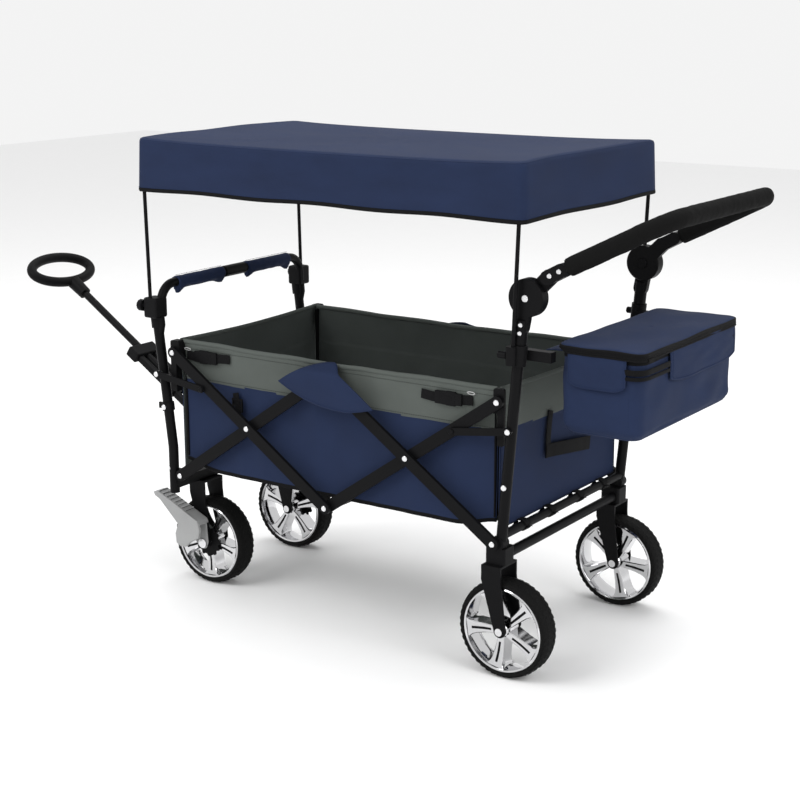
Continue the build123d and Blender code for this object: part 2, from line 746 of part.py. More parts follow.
parts = {
    "rear_posts": rear_posts(),
    "rear_cross_bars": rear_cross_bars(),
    "caster_blocks": caster_blocks(),
    "rear_frame_bolts": rear_frame_bolts(),
    "rear_canopy_clamps": rear_canopy_clamps() + rear_clamp_knobs(),
    "rear_canopy_bow": rear_bow,
    "canopy_cover": canopy_cover(),
    "push_lower_arms": push_lower_arms(),
    "bag_brackets": bag_brackets(),
    "bag_shell": bag_shell(),
    "bag_lid": bag_lid(),
    "basket_rear_wall": end_wall(basket_half + air, basket_half + fabric, basket_floor_z),
    "basket_tub": basket_side_walls() + basket_floor(),
    "outer_rear_bars": both([scissor_bar(rear_foot, high_middle, outer_in, outer_out)]),
    "inner_rear_bars": both([scissor_bar(low_middle, rear_head, inner_in, inner_out)]),
    "outer_front_bars": both([scissor_bar(low_middle, front_head, outer_in, outer_out)]),
    "inner_front_bars": both([scissor_bar(front_foot, high_middle, inner_in, inner_out)]),
    "outer_rear_bolts": scissor_bolts([rear_crossing, high_middle]),
    "outer_front_bolts": outer_bolts_front(),
    "bottom_cross_tube": bottom_cross_tube(),
    "inner_rear_bolts": both([corner_bolt(rear_head, inner_in, inner_out)]),
    "rear_corner_brackets": corner_brackets(rear_head, inner_in, 1),
    "front_corner_brackets": corner_brackets(front_head, outer_in, -1),
    "rear_links": links(rear_link_pin, -1, outer_in, link_out_rear, inner_out),
    "front_links": links(front_link_pin, 1, link_in_front, link_out_front, outer_out),
    "front_posts": front_posts(),
    "front_cross_tube": front_cross_tube(),
    "front_pin_brackets": front_pin_brackets(),
    "front_frame_bolts": front_frame_bolts()
    + [axle(front_wheel_x, front_y), axle(front_wheel_x, -front_y) + pedal_pivot()],
    "front_canopy_clamps": front_canopy_clamps() + front_clamp_knobs() + front_post_collars(),
    "front_canopy_bow": front_bow,
    "grab_bar": grab_bar() + grab_joint(),
    "grab_sleeves": grab_sleeves(),
    "basket_front_wall": end_wall(-basket_half - fabric, -basket_half - air, basket_floor_z - 6),
    "handle_pivot": handle_pivot(),
    "handle_rails": handle_rails(),
    "handle_top_bracket": handle_top_bracket(),
    "handle_slider": handle_slider(),
    "handle_shaft": handle_shaft(),
    "handle_grip": handle_grip(),
    "push_upper_arms": push_upper_arms(),
    "push_tube": push_tube(),
    "push_foam": push_foam(),
    "push_bolts": push_bolts(),
    "front_forks": both([fork(front_stem_x, front_wheel_x, front_y, fork_top_front, 0)]),
    "brake_pedal": brake_pedal(),
}
for side, y in (("near", -1), ("far", 1)):
    parts["push_button_" + side] = [push_button() if y > 0 else mirror(push_button(), about=Plane.XZ)]
    for end, x, track in (("front", front_wheel_x, front_y), ("rear", rear_wheel_x, rear_y)):
        parts["tyre_" + end + "_" + side] = [tyre(x, y * track)]
        parts["rim_" + end + "_" + side] = [rim(x, y * track)]
    parts["caster_fork_" + side] = [fork(rear_stem_x, rear_wheel_x, y * rear_y, fork_top_rear, stem_length)]
    parts["caster_axle_" + side] = [axle(rear_wheel_x, y * rear_y)]

print(len(parts), "nodes")
everything = Compound([s for solids in parts.values() for s in solids])
extent = everything.bounding_box(optimal=True)
middle_x = (extent.min.X + extent.max.X) / 2
print("moved along X by", round(-middle_x, 3), "size", extent.size)
os.makedirs("parts", exist_ok=True)
for name, solids in parts.items():
    group = Compound([s for shape in solids for s in shape.solids()])
    export_step(Pos(-middle_x, 0, 0) * group, "parts/" + name + ".step")
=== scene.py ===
import bmesh
import bpy
import math
from mathutils import Matrix, Vector, noise


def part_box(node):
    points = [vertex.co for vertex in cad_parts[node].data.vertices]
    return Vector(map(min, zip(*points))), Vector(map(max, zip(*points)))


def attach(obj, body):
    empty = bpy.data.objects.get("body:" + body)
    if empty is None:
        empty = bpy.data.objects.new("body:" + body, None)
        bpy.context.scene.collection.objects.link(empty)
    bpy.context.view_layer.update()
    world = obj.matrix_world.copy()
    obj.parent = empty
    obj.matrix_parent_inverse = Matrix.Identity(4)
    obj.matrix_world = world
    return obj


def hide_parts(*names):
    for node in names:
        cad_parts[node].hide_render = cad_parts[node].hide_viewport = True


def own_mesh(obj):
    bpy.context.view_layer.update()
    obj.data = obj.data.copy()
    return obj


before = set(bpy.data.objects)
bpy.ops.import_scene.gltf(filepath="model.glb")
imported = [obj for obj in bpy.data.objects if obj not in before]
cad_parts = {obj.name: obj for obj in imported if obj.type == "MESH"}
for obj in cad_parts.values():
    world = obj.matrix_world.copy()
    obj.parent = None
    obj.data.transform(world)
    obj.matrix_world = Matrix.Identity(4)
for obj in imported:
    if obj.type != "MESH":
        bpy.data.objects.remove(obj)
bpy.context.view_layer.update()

# Folding camp wagon. Metres, +Z up, +X to the push bar, -Y is the near side.
scene = bpy.context.scene
print("wagon: frame loaded,", len(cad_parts), "nodes")


# Mesh helpers
def finishMesh(mesh):
    work = bmesh.new()
    work.from_mesh(mesh)
    bmesh.ops.remove_doubles(work, verts=work.verts, dist=1e-6)
    bmesh.ops.dissolve_degenerate(work, edges=work.edges, dist=1e-7)
    bmesh.ops.recalc_face_normals(work, faces=work.faces)
    work.to_mesh(mesh)
    work.free()


def linkPiece(name, mesh):
    piece = bpy.data.objects.new(name, mesh)
    scene.collection.objects.link(piece)
    return piece


def hold(piece, body, slotName, *nodes):
    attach(piece, body)
    if nodes:
        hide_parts(*nodes)
    return piece


def gather(piece):
    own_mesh(piece)


def sheetPiece(name, place, cells, size, wall, materials, slotOf=None, wrap=False):
    columns, rows = cells
    count = columns if wrap else columns + 1
    grid = [[Vector(place(i / columns, j / rows)) for j in range(rows + 1)] for i in range(count)]
    verts = []
    for layer in (1, -1):
        for i in range(count):
            before = grid[(i - 1) % count] if wrap else grid[max(i - 1, 0)]
            after = grid[(i + 1) % count] if wrap else grid[min(i + 1, count - 1)]
            for j in range(rows + 1):
                across = after[j] - before[j]
                up = grid[i][min(j + 1, rows)] - grid[i][max(j - 1, 0)]
                normal = across.cross(up)
                normal = normal.normalized() if normal.length > 1e-12 else Vector((0, 0, 1))
                verts.append(grid[i][j] + normal * (layer * wall / 2))

    def spot(layer, i, j):
        return layer * count * (rows + 1) + (i % count) * (rows + 1) + j

    faces, slots, corners = [], [], []

    def face(points, slot):
        faces.append([spot(*p) for p in points])
        slots.append(slot)
        corners.extend((p[1] / columns * size[0], p[2] / rows * size[1]) for p in points)

    for i in range(columns):
        for j in range(rows):
            for layer in (0, 1):
                slot = slotOf(layer, (i + 0.5) / columns, (j + 0.5) / rows) if slotOf else 0
                face([(layer, i, j), (layer, i + 1, j), (layer, i + 1, j + 1), (layer, i, j + 1)], slot)
        for j in (0, rows):
            slot = slotOf(0, (i + 0.5) / columns, min(max(j / rows, 0.001), 0.999)) if slotOf else 0
            face([(0, i, j), (1, i, j), (1, i + 1, j), (0, i + 1, j)], slot)
    if not wrap:
        for i in (0, columns):
            for j in range(rows):
                slot = slotOf(0, min(max(i / columns, 0.001), 0.999), (j + 0.5) / rows) if slotOf else 0
                face([(0, i, j), (1, i, j), (1, i, j + 1), (0, i, j + 1)], slot)
    mesh = bpy.data.meshes.new(name)
    mesh.from_pydata(verts, [], faces)
    for material in materials:
        mesh.materials.append(material)
    mesh.polygons.foreach_set("material_index", slots)
    layer = mesh.uv_layers.new(name="clothUv")
    layer.data.foreach_set("uv", [value for corner in corners for value in corner])
    finishMesh(mesh)
    mesh.shade_smooth()
    return linkPiece(name, mesh)


def bridge(a, b, count):
    # quads between two rings of verts that start at a and b
    return [(a + k, a + (k + 1) % count, b + (k + 1) % count, b + k) for k in range(count)]


def rowOf(place, count, v, extra=0):
    return [Vector(place(k / count, v)) for k in range(count + extra)]


def settle(piece, modifier):
    # the modifier's result becomes the piece's mesh
    graph = bpy.context.evaluated_depsgraph_get()
    mesh = bpy.data.meshes.new_from_object(piece.evaluated_get(graph), depsgraph=graph)
    piece.modifiers.remove(modifier)
    piece.data = mesh
    return mesh


def remeshed(piece, size):
    remesh = piece.modifiers.new("remesh", "REMESH")
    remesh.mode, remesh.voxel_size = "VOXEL", size
    return settle(piece, remesh)


def ringPoints(radiusA, radiusB, count, power=2.0):
    points = []
    for k in range(count):
        angle = 2 * math.pi * k / count
        c, s = math.cos(angle), math.sin(angle)
        points.append((radiusA * math.copysign(abs(c) ** (2 / power), c),
                       radiusB * math.copysign(abs(s) ** (2 / power), s)))
    return points


class Shape:
    # gathers verts, faces and material slots, then makes one closed piece
    def __init__(self):
        self.verts, self.faces, self.slots = [], [], []

    def add(self, verts, faces, slot=0):
        start = len(self.verts)
        self.verts.extend(Vector(v) for v in verts)
        self.faces.extend([start + k for k in face] for face in faces)
        self.slots.extend([slot] * len(faces))

    def sweep(self, points, section, up=(0, 0, 1), slot=0, closed=False):
        # section: half width, half height, number of sides and, for a squarer one, its power
        points, profile = [Vector(p) for p in points], ringPoints(*section)
        count, sides = len(points), len(profile)
        verts = []
        for k, point in enumerate(points):
            before = points[(k - 1) % count] if closed or k else point
            after = points[(k + 1) % count] if closed or k < count - 1 else point
            along = (after - before).normalized()
            side = Vector(up).cross(along)
            side = side.normalized() if side.length > 1e-6 else Vector((0, 1, 0))
            top = along.cross(side)
            verts.extend(point + side * a + top * b for a, b in profile)
        faces = []
        for k in range(count if closed else count - 1):
            faces += bridge(k * sides, (k + 1) % count * sides, sides)
        if not closed:
            faces.append(tuple(range(sides)))
            faces.append(tuple(range((count - 1) * sides, count * sides)))
        self.add(verts, faces, slot)

    def block(self, centre, size, bevel=0.001, slot=0, turn=None, segments=2):
        work = bmesh.new()
        bmesh.ops.create_cube(work, size=1)
        bmesh.ops.scale(work, vec=size, verts=work.verts)
        bmesh.ops.bevel(work, geom=work.edges[:], offset=min(bevel, min(size) * 0.45), segments=segments,
                        profile=0.7, affect="EDGES")
        matrix = Matrix.Translation(centre) @ (turn.to_4x4() if turn else Matrix.Identity(4))
        bmesh.ops.transform(work, matrix=matrix, verts=work.verts)
        work.verts.index_update()
        self.add([v.co.copy() for v in work.verts], [[v.index for v in f.verts] for f in work.faces], slot)
        work.free()

    def lathe(self, rows, centre, count=48, slot=0, closed=False, axis="Y"):
        centre = Vector(centre)
        verts = []
        for radius, along in rows:
            for k in range(count):
                angle = 2 * math.pi * k / count
                a, b = radius * math.cos(angle), radius * math.sin(angle)
                offset = {"Y": (a, along, b), "Z": (a, b, along), "X": (along, a, b)}[axis]
                verts.append(centre + Vector(offset))
        faces = []
        for j in range(len(rows) if closed else len(rows) - 1):
            faces += bridge(j * count, (j + 1) % len(rows) * count, count)
        self.add(verts, faces, slot)

    def held(self, name, materials, body, slotName, *nodes):
        return hold(self.piece(name, materials), body, slotName, *nodes)

    def piece(self, name, materials, smooth=True):
        mesh = bpy.data.meshes.new(name)
        mesh.from_pydata([tuple(v) for v in self.verts], [], self.faces)
        for material in materials:
            mesh.materials.append(material)
        mesh.polygons.foreach_set("material_index", self.slots)
        finishMesh(mesh)
        if smooth:
            mesh.shade_smooth()
            mesh.set_sharp_from_angle(angle=math.radians(38))
        return linkPiece(name, mesh)


# Geometry Nodes: what repeats
def newTree(name, inputs):
    tree = bpy.data.node_groups.new(name, "GeometryNodeTree")
    tree.interface.new_socket("Geometry", in_out="INPUT", socket_type="NodeSocketGeometry")
    for label, kind in inputs:
        tree.interface.new_socket(label, in_out="INPUT", socket_type="NodeSocket" + kind)
    tree.interface.new_socket("Geometry", in_out="OUTPUT", socket_type="NodeSocketGeometry")
    entry = tree.nodes.new("NodeGroupInput")
    exit = tree.nodes.new("NodeGroupOutput")
    return tree, entry, exit


def join(tree, *pairs):
    for source, output, target, entrance in pairs:
        tree.links.new(source.outputs[output], target.inputs[entrance])


def endTree(tree, entry, exit, instances):
    realize = tree.nodes.new("GeometryNodeRealizeInstances")
    paint = tree.nodes.new("GeometryNodeSetMaterial")
    tree.links.new(instances, realize.inputs["Geometry"])
    join(tree, (realize, "Geometry", paint, "Geometry"), (entry, "Material", paint, "Material"),
         (paint, "Geometry", exit, "Geometry"))


def ringTree():
    # copies of one block round the Y axis, then moved to the wheel's centre
    tree, entry, exit = newTree("aroundHub", (("Count", "Int"), ("First Angle", "Float"),
                                              ("Centre", "Vector"), ("Material", "Material")))
    points = tree.nodes.new("GeometryNodePoints")
    index = tree.nodes.new("GeometryNodeInputIndex")
    step = tree.nodes.new("ShaderNodeMath")
    step.operation = "DIVIDE"
    step.inputs[0].default_value = 2 * math.pi
    angle = tree.nodes.new("ShaderNodeMath")
    angle.operation = "MULTIPLY_ADD"
    turn = tree.nodes.new("ShaderNodeCombineXYZ")
    euler = tree.nodes.new("FunctionNodeEulerToRotation")
    copy = tree.nodes.new("GeometryNodeInstanceOnPoints")
    move = tree.nodes.new("GeometryNodeTransform")
    join(tree, (entry, "Count", points, "Count"), (entry, "Count", step, 1), (index, 0, angle, 0),
         (step, 0, angle, 1), (entry, "First Angle", angle, 2), (angle, 0, turn, "Y"), (turn, 0, euler, 0),
         (points, 0, copy, "Points"), (entry, "Geometry", copy, "Instance"), (euler, 0, copy, "Rotation"),
         (copy, 0, move, "Geometry"), (entry, "Centre", move, "Translation"))
    endTree(tree, entry, exit, move.outputs[0])
    return tree


def rowTree():
    # copies of one block in a straight row
    tree, entry, exit = newTree("inRow", (("Count", "Int"), ("Start", "Vector"), ("Step", "Vector"),
                                          ("Material", "Material")))
    line = tree.nodes.new("GeometryNodeMeshLine")
    copy = tree.nodes.new("GeometryNodeInstanceOnPoints")
    join(tree, (entry, "Count", line, "Count"), (entry, "Start", line, "Start Location"),
         (entry, "Step", line, "Offset"), (line, 0, copy, "Points"), (entry, "Geometry", copy, "Instance"))
    endTree(tree, entry, exit, copy.outputs[0])
    return tree


def stitchTree():
    # short threads laid along the edges of a line mesh
    tree, entry, exit = newTree("alongSeam", (("Spacing", "Float"), ("Stitch Size", "Vector"),
                                              ("Material", "Material")))
    curve = tree.nodes.new("GeometryNodeMeshToCurve")
    sample = tree.nodes.new("GeometryNodeResampleCurve")
    sample.mode = "LENGTH"
    tangent = tree.nodes.new("GeometryNodeInputTangent")
    align = tree.nodes.new("FunctionNodeAlignRotationToVector")
    align.axis = "X"
    thread = tree.nodes.new("GeometryNodeMeshCube")
    copy = tree.nodes.new("GeometryNodeInstanceOnPoints")
    join(tree, (entry, "Geometry", curve, "Mesh"), (curve, "Curve", sample, "Curve"),
         (entry, "Spacing", sample, "Length"), (tangent, 0, align, "Vector"),
         (entry, "Stitch Size", thread, "Size"), (sample, "Curve", copy, "Points"),
         (thread, "Mesh", copy, "Instance"), (align, "Rotation", copy, "Rotation"))
    endTree(tree, entry, exit, copy.outputs[0])
    return tree


def grow(piece, tree, values):
    pattern = piece.modifiers.new("pattern", "NODES")
    pattern.node_group = tree
    for item in tree.interface.items_tree:
        if item.item_type == "SOCKET" and item.in_out == "INPUT" and item.name in values:
            pattern[item.identifier] = values[item.name]
    settle(piece, pattern)
    return piece


aroundHub, inRow, alongSeam = ringTree(), rowTree(), stitchTree()
stitch = {"spacing": 0.0055, "size": (0.0036, 0.0008, 0.0008)}


def seamPiece(name, lines, material):
    verts, edges = [], []
    for line in lines:
        start = len(verts)
        verts.extend(tuple(p) for p in line)
        edges.extend((start + k, start + k + 1) for k in range(len(line) - 1))
    mesh = bpy.data.meshes.new(name)
    mesh.from_pydata(verts, edges, [])
    piece = linkPiece(name, mesh)
    return grow(piece, alongSeam, {"Spacing": stitch["spacing"], "Stitch Size": stitch["size"],
                                   "Material": material})


# Shader node groups
def newGroup(name, inputs, outputs):
    group = bpy.data.node_groups.new(name, "ShaderNodeTree")
    for label, kind, value in inputs:
        socket = group.interface.new_socket(label, in_out="INPUT", socket_type="NodeSocket" + kind)
        if value is not None:
            socket.default_value = value
    for label in outputs:
        group.interface.new_socket(label, in_out="OUTPUT", socket_type="NodeSocketFloat")
    return group, group.nodes.new("NodeGroupInput"), group.nodes.new("NodeGroupOutput")


def mathNode(group, operation, first, second=None):
    node = group.nodes.new("ShaderNodeMath")
    node.operation = operation
    for socket, value in zip(node.inputs, (first, second)):
        if value is None:
            continue
        if isinstance(value, (int, float)):
            socket.default_value = value
        else:
            group.links.new(value, socket)
    return node.outputs[0]


def weaveGroup():
    # plain weave from cloth coordinates in metres, with slow shade changes between yarns
    group, entry, exit = newGroup("weave", (("Vector", "Vector", None), ("Threads", "Float", 900.0),
                                            ("Patch", "Float", 9.0)), ("Height", "Shade"))
    parts = group.nodes.new("ShaderNodeSeparateXYZ")
    group.links.new(entry.outputs["Vector"], parts.inputs[0])
    warp = mathNode(group, "SINE", mathNode(group, "MULTIPLY", parts.outputs[0], entry.outputs["Threads"]))
    weft = mathNode(group, "SINE", mathNode(group, "MULTIPLY", parts.outputs[1], entry.outputs["Threads"]))
    crossing = mathNode(group, "MULTIPLY", warp, weft)
    group.links.new(mathNode(group, "MULTIPLY_ADD", crossing, 0.5), exit.inputs["Height"])
    tone = group.nodes.new("ShaderNodeTexNoise")
    tone.inputs["Detail"].default_value = 3
    group.links.new(entry.outputs["Vector"], tone.inputs["Vector"])
    group.links.new(entry.outputs["Patch"], tone.inputs["Scale"])
    yarn = mathNode(group, "MULTIPLY", crossing, 0.22)
    group.links.new(mathNode(group, "ADD", yarn, tone.outputs["Fac"]), exit.inputs["Shade"])
    return group


def grainGroup():
    # fine moulded or sprayed grain, with broad tone changes and rare scuffs
    group, entry, exit = newGroup("grain", (("Vector", "Vector", None), ("Grain", "Float", 900.0),
                                            ("Broad", "Float", 14.0)), ("Height", "Tone", "Scuff"))
    fine, broad, marks = (group.nodes.new("ShaderNodeTexNoise") for k in range(3))
    for node, detail in ((fine, 2), (broad, 4), (marks, 6)):
        node.inputs["Detail"].default_value = detail
        group.links.new(entry.outputs["Vector"], node.inputs["Vector"])
    marks.inputs["Scale"].default_value = 60
    marks.inputs["Distortion"].default_value = 1.5
    group.links.new(entry.outputs["Grain"], fine.inputs["Scale"])
    group.links.new(entry.outputs["Broad"], broad.inputs["Scale"])
    group.links.new(fine.outputs["Fac"], exit.inputs["Height"])
    group.links.new(broad.outputs["Fac"], exit.inputs["Tone"])
    ramp = group.nodes.new("ShaderNodeMapRange")
    ramp.inputs["From Min"].default_value = 0.62
    ramp.inputs["From Max"].default_value = 0.72
    group.links.new(marks.outputs["Fac"], ramp.inputs["Value"])
    group.links.new(ramp.outputs[0], exit.inputs["Scuff"])
    return group


weave, grain = weaveGroup(), grainGroup()


def startMaterial(name):
    material = bpy.data.materials.new(name)
    material.use_nodes = True
    nodes, links = material.node_tree.nodes, material.node_tree.links
    return material, nodes, links, nodes["Principled BSDF"]


def tintPair(nodes, links, factor, dark, light):
    mix = nodes.new("ShaderNodeMix")
    mix.data_type = "RGBA"
    mix.inputs["A"].default_value = (*dark, 1)
    mix.inputs["B"].default_value = (*light, 1)
    links.new(factor, mix.inputs["Factor"])
    return mix.outputs["Result"]


def spread(nodes, links, value, low, high):
    node = nodes.new("ShaderNodeMapRange")
    node.inputs["To Min"].default_value = low
    node.inputs["To Max"].default_value = high
    links.new(value, node.inputs["Value"])
    return node.outputs[0]


def roughen(nodes, links, shader, height, depth, strength):
    bump = nodes.new("ShaderNodeBump")
    bump.inputs["Distance"].default_value = depth
    bump.inputs["Strength"].default_value = strength
    links.new(height, bump.inputs["Height"])
    links.new(bump.outputs["Normal"], shader.inputs["Normal"])


def clothMaterial(name, colour, rough=0.75, sheen=0.012, threads=2600.0, depth=0.00025, byUv=True):
    material, nodes, links, shader = startMaterial(name)
    coordinates = nodes.new("ShaderNodeUVMap") if byUv else nodes.new("ShaderNodeTexCoord")
    if byUv:
        coordinates.uv_map = "clothUv"
    source = coordinates.outputs["UV"] if byUv else coordinates.outputs["Object"]
    pattern = nodes.new("ShaderNodeGroup")
    pattern.node_tree = weave
    pattern.inputs["Threads"].default_value = threads
    links.new(source, pattern.inputs["Vector"])
    dark = tuple(c * 0.78 for c in colour)
    light = tuple(c * 1.22 for c in colour)
    links.new(tintPair(nodes, links, pattern.outputs["Shade"], dark, light), shader.inputs["Base Color"])
    roughness = spread(nodes, links, pattern.outputs["Shade"], rough - 0.08, rough + 0.1)
    links.new(roughness, shader.inputs["Roughness"])
    roughen(nodes, links, shader, pattern.outputs["Height"], depth, 0.6)
    shader.inputs["Sheen Weight"].default_value = sheen
    shader.inputs["Sheen Roughness"].default_value = 0.5
    shader.inputs["Specular IOR Level"].default_value = 0.08
    return material


def hardMaterial(name, colour, rough, metallic=0.0, grainScale=900.0, depth=0.0001, change=0.15, gloss=0.06,
                 scuff=0.12):
    material, nodes, links, shader = startMaterial(name)
    coordinates = nodes.new("ShaderNodeTexCoord")
    pattern = nodes.new("ShaderNodeGroup")
    pattern.node_tree = grain
    pattern.inputs["Grain"].default_value = grainScale
    links.new(coordinates.outputs["Object"], pattern.inputs["Vector"])
    dark = tuple(c * (1 - change) for c in colour)
    light = tuple(min(c * (1 + change), 1) for c in colour)
    links.new(tintPair(nodes, links, pattern.outputs["Tone"], dark, light), shader.inputs["Base Color"])
    base = spread(nodes, links, pattern.outputs["Tone"], rough * 0.85, rough * 1.15)
    add = nodes.new("ShaderNodeMath")
    add.operation = "MULTIPLY_ADD"
    add.inputs[1].default_value = scuff
    links.new(pattern.outputs["Scuff"], add.inputs[0])
    links.new(base, add.inputs[2])
    links.new(add.outputs[0], shader.inputs["Roughness"])
    shader.inputs["Metallic"].default_value = metallic
    shader.inputs["Specular IOR Level"].default_value = gloss
    roughen(nodes, links, shader, pattern.outputs["Height"], depth, 0.5)
    return material


navyCloth = clothMaterial("navyPolyester", (0.0145, 0.023, 0.056))
greyCloth = clothMaterial("greyPolyester", (0.082, 0.092, 0.085))
innerCloth = clothMaterial("innerGreyPolyester", (0.062, 0.07, 0.066), rough=0.8)
binding = clothMaterial("blackBinding", (0.004, 0.004, 0.0045), threads=3400.0)
webbing = clothMaterial("blackWebbing", (0.005, 0.005, 0.0055), threads=2200.0, depth=0.0004, byUv=False)
navySoft = clothMaterial("navyPaddedPolyester", (0.0145, 0.023, 0.056), byUv=False)
thread = hardMaterial("navyThread", (0.016, 0.026, 0.066), 0.7)
darkThread = hardMaterial("darkThread", (0.04, 0.045, 0.042), 0.7)
blackSteel = hardMaterial("blackPowderCoat", (0.005, 0.005, 0.0055), 0.4, grainScale=1400.0, depth=0.00006)
blackPlastic = hardMaterial("blackMouldedPlastic", (0.0055, 0.0055, 0.006), 0.5, grainScale=1100.0)
foam = hardMaterial("blackFoam", (0.006, 0.006, 0.006), 0.85, grainScale=520.0, depth=0.0006)
zinc = hardMaterial("zincBolt", (0.7, 0.7, 0.71), 0.25, metallic=1.0, change=0.08, gloss=0.5)
chrome = hardMaterial("chromeRim", (0.62, 0.62, 0.63), 0.1, metallic=1.0, grainScale=300.0, depth=0.00001,
                      change=0.04, scuff=0.06, gloss=0.5)
tyreRubber = hardMaterial("tyreRubber", (0.007, 0.007, 0.007), 0.7, grainScale=700.0, depth=0.0002)
palePlastic = hardMaterial("palePlastic", (0.29, 0.293, 0.293), 0.42, grainScale=1000.0, gloss=0.4)
# dark grey for the pedal's grooves: painted shade standing in for the shade inside the grooves
paintedGrooveShade = hardMaterial("greyGroovePaintedShade", (0.07, 0.071, 0.071), 0.5)
whiteWire = hardMaterial("whiteCoatedWire", (0.45, 0.45, 0.45), 0.35)
print("wagon: materials made")

# CAD nodes that stay
nodeFinish = {
    blackSteel: ("rear_posts rear_cross_bars rear_canopy_bow front_canopy_bow bag_brackets outer_rear_bars "
                 "inner_rear_bars outer_front_bars inner_front_bars bottom_cross_tube rear_links front_links "
                 "front_posts front_cross_tube grab_bar handle_pivot handle_rails handle_shaft push_tube "
                 "front_forks caster_fork_near caster_fork_far front_pin_brackets push_upper_arms "
                 "push_lower_arms"),
    blackPlastic: ("caster_blocks rear_canopy_clamps front_canopy_clamps rear_corner_brackets "
                   "front_corner_brackets handle_top_bracket handle_slider handle_grip push_button_near "
                   "push_button_far"),
    zinc: ("rear_frame_bolts outer_rear_bolts inner_rear_bolts outer_front_bolts front_frame_bolts "
           "push_bolts caster_axle_near caster_axle_far"),
}
for material, names in nodeFinish.items():
    for name in names.split():
        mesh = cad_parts[name].data
        mesh.materials.clear()
        mesh.materials.append(material)

tubLow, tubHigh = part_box("basket_tub")
coverLow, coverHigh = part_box("canopy_cover")
frontLow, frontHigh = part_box("basket_front_wall")
rearLow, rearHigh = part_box("basket_rear_wall")


def smoothStep(value):
    value = min(max(value, 0.0), 1.0)
    return value * value * (3 - 2 * value)


def ripple(x, y, z, amount):
    return noise.noise(Vector((x, y, z))) * amount


# Fabric basket
basket = {"bandDrop": 0.089, "wall": 0.0022, "proud": 0.0014, "fold": 0.0035, "endRise": 0.02,
          "endRun": 0.13, "rimRadius": 0.0042, "endOverlap": 0.005, "columns": 110,
          "rows": 34}


def rimHeight(x):
    run = (x - tubLow.x) / (tubHigh.x - tubLow.x)
    return tubHigh.z - 0.005 - 0.003 * math.sin(math.pi * run) ** 2 + ripple(x * 9, 0, 0, 0.002)


def hemHeight(x):
    reach = min(x - tubLow.x, tubHigh.x - x)
    return tubLow.z + 0.003 + basket["endRise"] * (1 - smoothStep(reach / basket["endRun"])) ** 2


def wallY(x, z, side):
    band = smoothStep((z - (tubHigh.z - basket["bandDrop"])) / 0.002)
    high = (z - tubLow.z) / (tubHigh.z - tubLow.z)
    folds = ripple(x * 11, z * 3.5, side * 3.0, basket["fold"]) + ripple(x * 30, z * 7, side * 5.0, 0.0008)
    dent = 0.0035 + abs(folds) + 0.002 * math.sin(math.pi * high)
    return side * (tubHigh.y - dent + basket["proud"] * band)


def basketSide(side, name):
    span = tubHigh.x - tubLow.x - 0.008

    def place(u, v):
        x = tubLow.x + 0.004 + span * (u if side < 0 else 1 - u)
        z = hemHeight(x) + (rimHeight(x) - hemHeight(x)) * v
        return x, wallY(x, z, side), z

    def slotOf(layer, u, v):
        if layer:
            return 2
        z = place(u, v)[2]
        if z > tubHigh.z - basket["bandDrop"]:
            return 1
        return 3 if v < 0.035 else 0

    height = tubHigh.z - tubLow.z
    piece = sheetPiece(name, place, (basket["columns"], basket["rows"] * 2), (span, height), basket["wall"],
                       (navyCloth, greyCloth, innerCloth, binding), slotOf)
    hold(piece, "rear_frame", "navy_fabric", "basket_tub")
    gather(piece)
    return piece, (span, height)


def basketFloor():
    span = tubHigh.x - tubLow.x - 0.008
    half = tubHigh.y - 0.006

    def place(u, v):
        x = tubLow.x + 0.004 + span * u
        y = half * (2 * v - 1)
        sag = 0.003 * (1 - (2 * v - 1) ** 2) + 0.0012 * abs(math.sin(4 * math.pi * u))
        return x, y, hemHeight(x) + 0.003 - sag + 0.001 * (1 - abs(2 * v - 1))

    size = (span, 2 * half)
    piece = sheetPiece("basketFloor", place, (80, 40), size, basket["wall"], (innerCloth, binding))
    hold(piece, "rear_frame", "grey_fabric")
    gather(piece)


def basketRim():
    # rolled top hem of both long sides, and the black bindings inside the corners
    shape = Shape()
    section = (basket["rimRadius"], basket["rimRadius"] * 1.25, 12)
    steps = [tubLow.x + 0.004 + (tubHigh.x - tubLow.x - 0.008) * k / 100 for k in range(101)]
    for side in (-1, 1):
        line = [(x, wallY(x, rimHeight(x), side) - side * 0.001, rimHeight(x)) for x in steps]
        shape.sweep(line, section)
        for x in (tubLow.x + 0.0075, tubHigh.x - 0.0075):
            foot, rise = hemHeight(x) + 0.01, rimHeight(x) - hemHeight(x) - 0.014
            strip = [(x, side * (tubHigh.y - 0.0085 - abs(ripple(z * 9, x, side, 0.001))), z)
                     for z in (foot + rise * k / 12 for k in range(13))]
            shape.sweep(strip, (0.0022, 0.0075, 12, 4), up=(0, 1, 0), slot=1)
    piece = shape.held("basketRim", (greyCloth, binding), "rear_frame", "grey_fabric")
    gather(piece)


